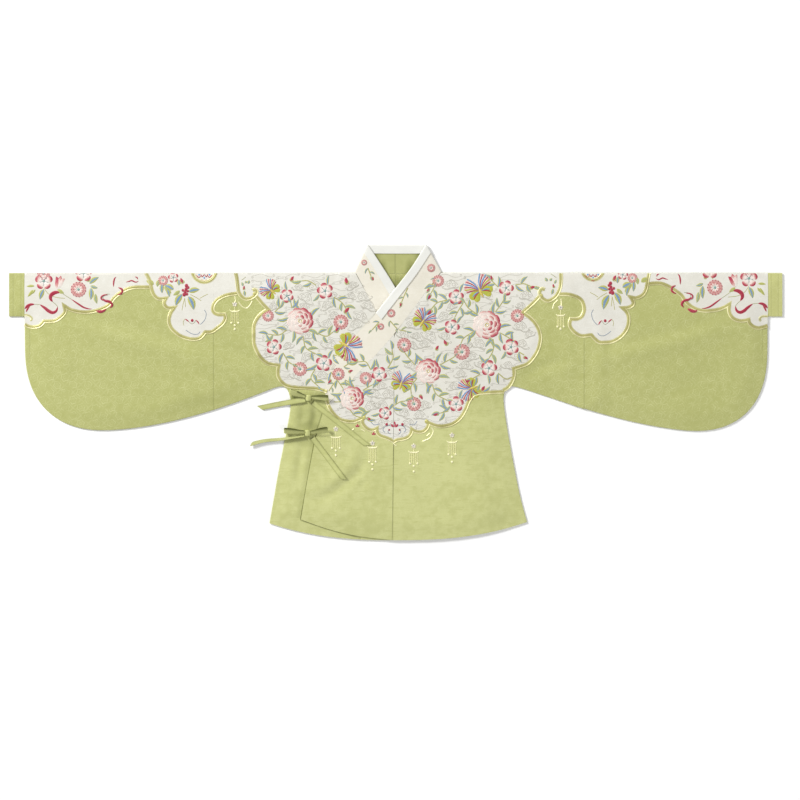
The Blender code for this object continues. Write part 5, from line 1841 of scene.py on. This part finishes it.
# buds at the points of the cloud collar, then dots and curls beside them
POINT_BUDS = ((-4, -370, 14, 90), (-93, -370, 8, 92), (-54, -389, 8, 92))
POINT_DOTS = ((-23, -364, 3.6), (15, -364, 3.6), (-17, -377, 2.4), (8, -377, 2.4))
POINT_CURLS = (
    ((-11, -368), (-21, -367), (-29, -371), (-32, -378), (-27, -383)),
    ((2, -368), (12, -367), (20, -371), (23, -378), (18, -383)),
    ((-17, -375), (-20, -383), (-14, -387)), ((8, -375), (11, -383), (5, -387)),
    ((-41, -363), (-53, -365), (-61, -358)), ((31, -363), (43, -365), (50, -356)),
)
# how much further out the ornament of the wearer's left sleeve lies, at five distances in x
SLEEVE_SHIFT = ((345.0, 380.0, 480.0, 605.0, 893.0), (0.0, 13.0, 13.0, 5.0, 0.0))
# and the share of its y that the right sleeve keeps, and the rest of its drop
RIGHT_DROP = (0.93, -7.2)


def other_sleeve(points):
    """Plan points of the wearer's left sleeve, moved to the right sleeve."""
    x, y = np.asarray(points, float).T
    return np.stack([np.interp(x, *SLEEVE_SHIFT) - x, y * RIGHT_DROP[0] + RIGHT_DROP[1]], axis=-1)


def on_both_sleeves(work, rows, turned=True):
    """Place motifs that are given by x, y, a size and perhaps a turn on both sleeves."""
    for x, y, *rest in rows:
        work(x, y, *rest)
        if turned:
            rest[-1] = 180 - rest[-1]
        work(*other_sleeve((x, y)), *rest)


for path, width, tone, height in RIBBON_STROKES:
    for line in (path, other_sleeve(path)):
        patch("petals", LONG, line, width * 1.2, height, stroke_shape, tone)
for path, width, tone in SLEEVE_LINES:
    for line in (path, other_sleeve(path)):
        couch("lines", line, width, tone)
for foot, tip, width, bend, tone in SLEEVE_LEAVES:
    leaf(foot, tip, width, bend, tone)
    leaf(*other_sleeve((foot, tip)), width, -bend, tone)
on_both_sleeves(lambda x, y, r, t: blossom(x, y, r, t, 0), SLEEVE_BLOSSOMS)
on_both_sleeves(aster, SLEEVE_ASTERS, False)
on_both_sleeves(bud, SLEEVE_BUDS)
on_both_sleeves(lotus, SLEEVE_LOTUS)
on_both_sleeves(lambda x, y, r: seed(x, y, r, 0.95), SLEEVE_BERRIES, False)
for work, rows in (
    (peony, PEONIES), (blossom, BLOSSOMS), (aster, ASTERS), (butterfly, BUTTERFLIES), (bud, BUDS),
    (aster, COLLAR_ASTERS), (bud, COLLAR_BUDS), (point_bud, POINT_BUDS),
):
    for row in rows:
        work(*row)
for path in BRANCHES:
    branch(path)
for path in COLLAR_BRANCHES:
    branch(path, 16.0, 5.0, 11.0)
for x, y, radius in POINT_DOTS:
    seed(x, y, radius, 0.95)
for path in POINT_CURLS:
    couch("lines", path, 1.5, 1.0)
print("places taken:", len(taken))

# %% [markdown]
# ## Clouds between the flowers
# The rest of the ivory is filled with cloud scrolls in pale thread: three curls over a long tail.
# They stand in staggered rows, each turned and sized a little differently, and leave out the
# places that a flower, leaf or butterfly already covers.

# %% Cloud scrolls
CLOUD_STEP = 33.0
CLOUD_ROW = CLOUD_STEP * 0.72
CLEAR = 15.0
# least and most of a cloud's size, turn and way off its place
CLOUD_RANGE = ((11.0, -35.0, -6.0, -4.0), (16.5, 35.0, 6.0, 4.0))
CHEST_HALF = 345.0
LOWEST_ROW = -400.0


def curl(cx, cy, radius, start, way, turns=1.35):
    """Points of a closing curl, in shares of the cloud's size."""
    shares = np.linspace(0.0, 1.0, 13)
    angle = np.radians(start + way * 360 * turns * shares)
    reach = radius * (1 - 0.72 * shares)
    return np.column_stack([cx + reach * np.cos(angle), cy + reach * np.sin(angle)])


# curls, a doubled tail and a crown, in shares of the cloud's size
CLOUD_LINES = (
    curl(-0.35, 0.1, 0.44, 300, -1), curl(0.4, 0.16, 0.36, 240, 1), curl(0.0, 0.6, 0.28, 270, 1, 1.1),
    ((-1.2, -0.25), (-0.6, -0.4), (0.0, -0.3), (0.6, -0.44), (1.25, -0.3)),
    ((-1.1, -0.42), (-0.6, -0.54), (0.05, -0.44), (0.66, -0.58), (1.15, -0.46)),
    ((-1.0, 0.05), (-0.86, 0.36), (-0.5, 0.66), (-0.1, 0.98), (0.3, 0.86), (0.7, 0.56), (1.0, 0.1)),
    curl(1.3, -0.1, 0.24, 250, 1, 0.9),
)


def cloud(x, y, size, turn, hand):
    angle = math.radians(turn)
    spin = np.array([(math.cos(angle), math.sin(angle)), (-math.sin(angle), math.cos(angle))])
    for line in CLOUD_LINES:
        path = (np.array(line) * (hand, 1.0)) @ spin * size + (x, y)
        couch("lines", path, 1.0, 0.0, 0.3, 2.2)


draws = np.random.default_rng(7)
drawn = 0
for number, y in enumerate(np.arange(-10.0, LOWEST_ROW, -CLOUD_ROW)):
    for x in np.arange(-CHEST_HALF + (number % 2) * CLOUD_STEP / 2, CHEST_HALF, CLOUD_STEP):
        size, turn, dx, dy = draws.uniform(*CLOUD_RANGE)
        spot = (x + dx, y + dy)
        if min(math.dist(spot, other) for other in taken) < CLEAR:
            continue
        reach = [arrow(*spot, 90 * k, size * 1.4) for k in range(4)]
        if not on_ivory(*reach) or surface.look(*spot)[0] in ("collar", None):
            continue
        cloud(*spot, size, turn, 1 if (number + int(x)) % 2 else -1)
        taken.extend([spot, arrow(*spot, turn, size * 0.7), arrow(*spot, turn + 180, size * 0.7)])
        drawn += 1
print("clouds:", drawn)

# %% Mist in wavy threads
MIST_STEP = 10.5
MIST_CLEAR = 10.5
# mist is broken into runs of at most so many steps, and ends in curls of this radius
MIST_RUN = 11
MIST_CURL = 3.4
# height and length of the mist's long and short waves
LONG_WAVE = (3.0, 14.0)
SHORT_WAVE = (1.6, 5.9)
blocked = np.array(taken)


def scroll(run):
    """A wavy thread with a curl at each end."""
    (left, low), (right, high) = run[0], run[-1]
    start = curl(left, low - MIST_CURL, MIST_CURL, 90, 1, 1.2)[::-1]
    end = curl(right, high + MIST_CURL, MIST_CURL, -90, 1, 1.2)
    couch("lines", np.vstack([start, run[1:-1], end]), 0.9, 0.1, 0.25, 2.4)


def mist(y, phase):
    """Scrolls along one row of the chest, broken where something lies."""
    run = []
    for x in np.arange(-CHEST_HALF, CHEST_HALF, 5.0):
        rise = LONG_WAVE[0] * math.sin(x / LONG_WAVE[1] + phase)
        spot = (x, y + rise + SHORT_WAVE[0] * math.sin(x / SHORT_WAVE[1] + 2 * phase))
        clear = np.hypot(*(blocked - spot).T).min() > MIST_CLEAR
        if len(run) < MIST_RUN and clear and on_ivory(spot) and surface.look(*spot)[0] != "collar":
            run.append(spot)
            continue
        if len(run) > 3:
            scroll(run)
        run = []


for number, y in enumerate(np.arange(-7.0, LOWEST_ROW, -MIST_STEP)):
    mist(y, 2.4 * number)
print("points of thread:", len(piles["lines"].points))

# %% [markdown]
# ## Tassels in gold thread
# Gold tassels hang from the points of the cloud collar and the sleeve scrolls. Each is a rosette, a
# bar, five threads with bead ends and a drop. The scrolls of the gilt edge end in small gold balls.

# %% Tassels, strings and balls
# x, y of rosette and bar, half width, y of the threads' ends and of the bead
TASSELS = (
    (-388, -75, -92, 12.5, -120, -135), (395, -83, -102, 11.5, -129, -134),
    (-145, -375, -395, 14, -421, -438), (-57, -409, -420, 12, -454, -472),
    (42, -416, -431, 13.5, -458, -477), (134, -390, -407, 13, -436, -454),
)
# gold threads
GOLD_STRINGS = (
    ((376, -86), (379, -75), (388, -65)), ((396, -62), (397, -70), (397, -80)),
    ((84, -371), (89, -379), (86, -390), (77, -399), (63, -405)), ((-7, -405), (-5, -412), (1, -415)),
    ((-388, -55), (-386, -65), (-388, -72)), ((81, -385), (73, -392)),
    ((-102, -375), (-111, -380), (-118, -373)), ((-85, -375), (-75, -381)),
    ((-379, -69), (-372, -79), (-361, -85), (-352, -78), (-346, -67)),
)
# round ends of the gilt scrolls
CURL_BALLS = ((-77, -348, 4.6), (73, -357, 5.3), (-341, -50, 4.1), (349, -54, 4.1))
# points of a tassel's bar, in half widths across and millimetres up
BAR = ((-1.0, 4.0), (-0.6, 0.0), (0.6, 0.0), (1.0, 4.0))
# crimson scrolls inside the medallions, in millimetres from the medallion's middle, and dots
MEDALLION_STROKES = (
    ((-20, -4), (-13, -11), (-8, -6)), ((20, -4), (13, -11), (8, -6)), ((-7, -16), (0, -19), (7, -16)),
    ((-9, -2), (-5, -9), (0, -3)), ((9, -2), (5, -9), (0, -3)),
)
MEDALLION_DOTS = ((0.0, -11.5), (-12.5, -4.0), (12.5, -4.0))


def tassel(x, rosette_y, bar_y, half, threads_y, bead_y):
    for k in range(5):
        path = [(x, rosette_y), arrow(x, rosette_y, 90 + 72 * k, 6.5)]
        patch("gold", SEED, path, 5.0, 0.8, petal_shape, 0.0)
    seed(x, rosette_y, 1.5, 1.0, 1.2, "lines")
    couch("gold", [(x, rosette_y - 5), (x, bar_y)], 1.4, 0.9, 0.6)
    patch("gold", LONG, [(x + half * a, bar_y + b) for a, b in BAR], 3.8, 0.9, stroke_shape, 1.0)
    for k in (-2, -1, 0, 1, 2):
        end = (x + k * half * 0.33, threads_y)
        couch("gold", [(end[0], bar_y), end], 1.3, 0.8, 0.7)
        if abs(k) == 2:
            seed(*end, 2.7, 1.0, 1.0, "gold")
    seed(x, threads_y - 6, 2.9, 1.0, 1.0, "gold")
    seed(x, bead_y, 3.0, 1.0, 1.2, "gold")


for row in TASSELS:
    tassel(*row)
for path in GOLD_STRINGS:
    couch("gold", path, 2.6, 0.95, 0.8)
for x, y, radius in CURL_BALLS:
    seed(x, y, radius, 0.2, 1.2, "gold")
for x, *_ in MEDALLIONS:
    for stroke in MEDALLION_STROKES:
        patch("petals", PATCH, np.array(stroke) + (x, 0.0), 2.6, 0.6, stroke_shape, 0.95)
    for dx, dy in MEDALLION_DOTS:
        seed(x + dx, dy, 2.2, 0.0, 0.8, "wings")
print("stitched points:", {name: len(pile.points) for name, pile in piles.items()})

# %% Silk for stitching
# the colours of each silk by tone, from 0 to 1
PETAL_STOPS = (
    (0, (232, 229, 220)), (0.45, (230, 212, 202)), (0.6, (202, 142, 136)), (0.78, (180, 66, 84)),
    (1, (160, 34, 58)),
)
LEAF_STOPS = ((0, (114, 144, 186)), (0.5, (130, 156, 168)), (1, (174, 176, 84)))
WING_STOPS = ((0, (96, 146, 200)), (0.3, (130, 162, 152)), (0.6, (170, 178, 56)), (1, (206, 184, 92)))
LINE_STOPS = (
    (0, (166, 162, 148)), (0.14, (184, 180, 168)), (0.3, (174, 170, 98)), (1, (120, 136, 154)),
)
GOLD_STOPS = (
    (0, (226, 218, 198)), (0.2, (196, 190, 112)), (0.5, (232, 226, 170)), (1, (248, 243, 196)),
)
STITCH_PITCH = 0.55
# how far tones drift, over which scale, and where a petal's tone is dark enough for a rim
DRIFT = 0.2
DRIFT_SCALE = 420.0
RIM_TONES = (0.45, 0.7)
RIM_OVER = 0.25


def stitched_silk(name, stops, edge=None, edge_from=0.5, metal=0.0):
    """Floss silk whose colour follows the tone of each patch, with its stitches across it."""
    material, wires, shader, place = new_material(name)
    across, along, tone = [wires.mark(mark) for mark in MARKS]
    drift = (wires.noise(place, DRIFT_SCALE) - 0.5) * DRIFT
    ramp = wires.put("ShaderNodeValToRGB", {"Fac": tone + drift})
    band = ramp.color_ramp
    while len(band.elements) < len(stops):
        band.elements.new(0.5)
    for element, (at, colour) in zip(band.elements, stops):
        element.position = at
        element.color = dye(*colour)
    colour = Step(wires, ramp)
    if edge is not None:
        rim = abs(across).ramp(edge_from, edge_from + RIM_OVER)
        if name == "petal_silk":
            rim = rim * tone.ramp(*RIM_TONES)
        colour = wires.mix(rim, colour, edge)
    height = (along * (math.tau / STITCH_PITCH)).step("SINE") + (across * 9.0).step("SINE") * 0.4
    wires.fill(shader, {
        "Base Color": colour, "Roughness": wires.between(wires.noise(place, 300.0), 0.38, 0.52),
        "Normal": wires.bump(height, 0.35, 0.00015), "Sheen Weight": 0.1,
        "Specular IOR Level": 0.45, "Metallic": metal,
    })
    return material


SILKS = {
    "petals": stitched_silk("petal_silk", PETAL_STOPS, dye(186, 76, 92), 0.62),
    "leaves": stitched_silk("leaf_silk", LEAF_STOPS, dye(180, 180, 96), 0.26),
    "wings": stitched_silk("wing_silk", WING_STOPS),
    "lines": stitched_silk("line_silk", LINE_STOPS),
    "gold": stitched_silk("gold_thread", GOLD_STOPS, metal=0.35),
}
print("silks:", len(SILKS))

# %% Lay the stitches on the cloth
for name, pile in piles.items():
    piece = pile.lay(surface)
    finish_piece(piece, [SILKS[name]])
    print(piece.name, "triangles:", sum(len(face.vertices) - 2 for face in piece.data.polygons))

# %% [markdown]
# ## The pieces of cloth
# Each panel is a sheet, laid on the panel below it or on the table, with its part of the ivory
# ground. Each tie's stem, loop and tail is a narrow strip.

# %% [markdown]
# ## Floor, light and camera
# The jacket was photographed from straight above in even light. A pale floor, a wide soft light
# from the upper left, a fill and a bright surrounding give that look, with just enough direction to
# show the folds. The camera hangs over the middle with a long lens, so the cloth isn't distorted.

# %% Studio
VIEW_WIDTH = 1.925
LENS = 100.0
SENSOR = 36.0
VIEW_CENTRE = (0.0091, -0.0182)
SURROUND = 0.46

bpy.ops.object.select_all(action="DESELECT")
bpy.ops.mesh.primitive_plane_add(size=12.0, location=(0.0, 0.0, -0.0005))
floor = bpy.context.object
floor.name = "floor"
paper, wires, shader, place = new_material("pale_floor")
colour = wires.mix(wires.noise(place, 300.0), dye(248, 248, 248), dye(252, 252, 252))
wires.fill(shader, {"Base Color": colour, "Roughness": 0.9})
floor.data.materials.append(paper)


def soft_light(name, place, size, power):
    """A square area light that faces the jacket's middle."""
    light = bpy.data.lights.new(name, "AREA")
    light.shape = "SQUARE"
    light.size = size
    light.energy = power
    lamp = in_scene(bpy.data.objects.new(name, light))
    lamp.location = place
    lamp.rotation_euler = (-Vector(place)).to_track_quat("-Z", "Y").to_euler()


soft_light("key_light", (-8.5, 7.0, 5.0), 2.6, 1850.0)
soft_light("fill_light", (6.5, -5.0, 7.0), 4.0, 290.0)

world = bpy.data.worlds.new("studio")
world.use_nodes = True
backdrop = {"Color": (1.0, 1.0, 1.0, 1.0), "Strength": SURROUND}
Wires(world.node_tree).fill(world.node_tree.nodes["Background"], backdrop)
bpy.context.scene.world = world
bpy.context.scene.view_settings.view_transform = "Standard"

view = bpy.data.cameras.new("camera")
view.sensor_width = SENSOR
view.lens = LENS
view.clip_end = 50.0
camera = in_scene(bpy.data.objects.new("camera", view))
camera.location = (*VIEW_CENTRE, VIEW_WIDTH * LENS / SENSOR)
bpy.context.scene.camera = camera
print("camera at", round(camera.location.z, 3), "m")
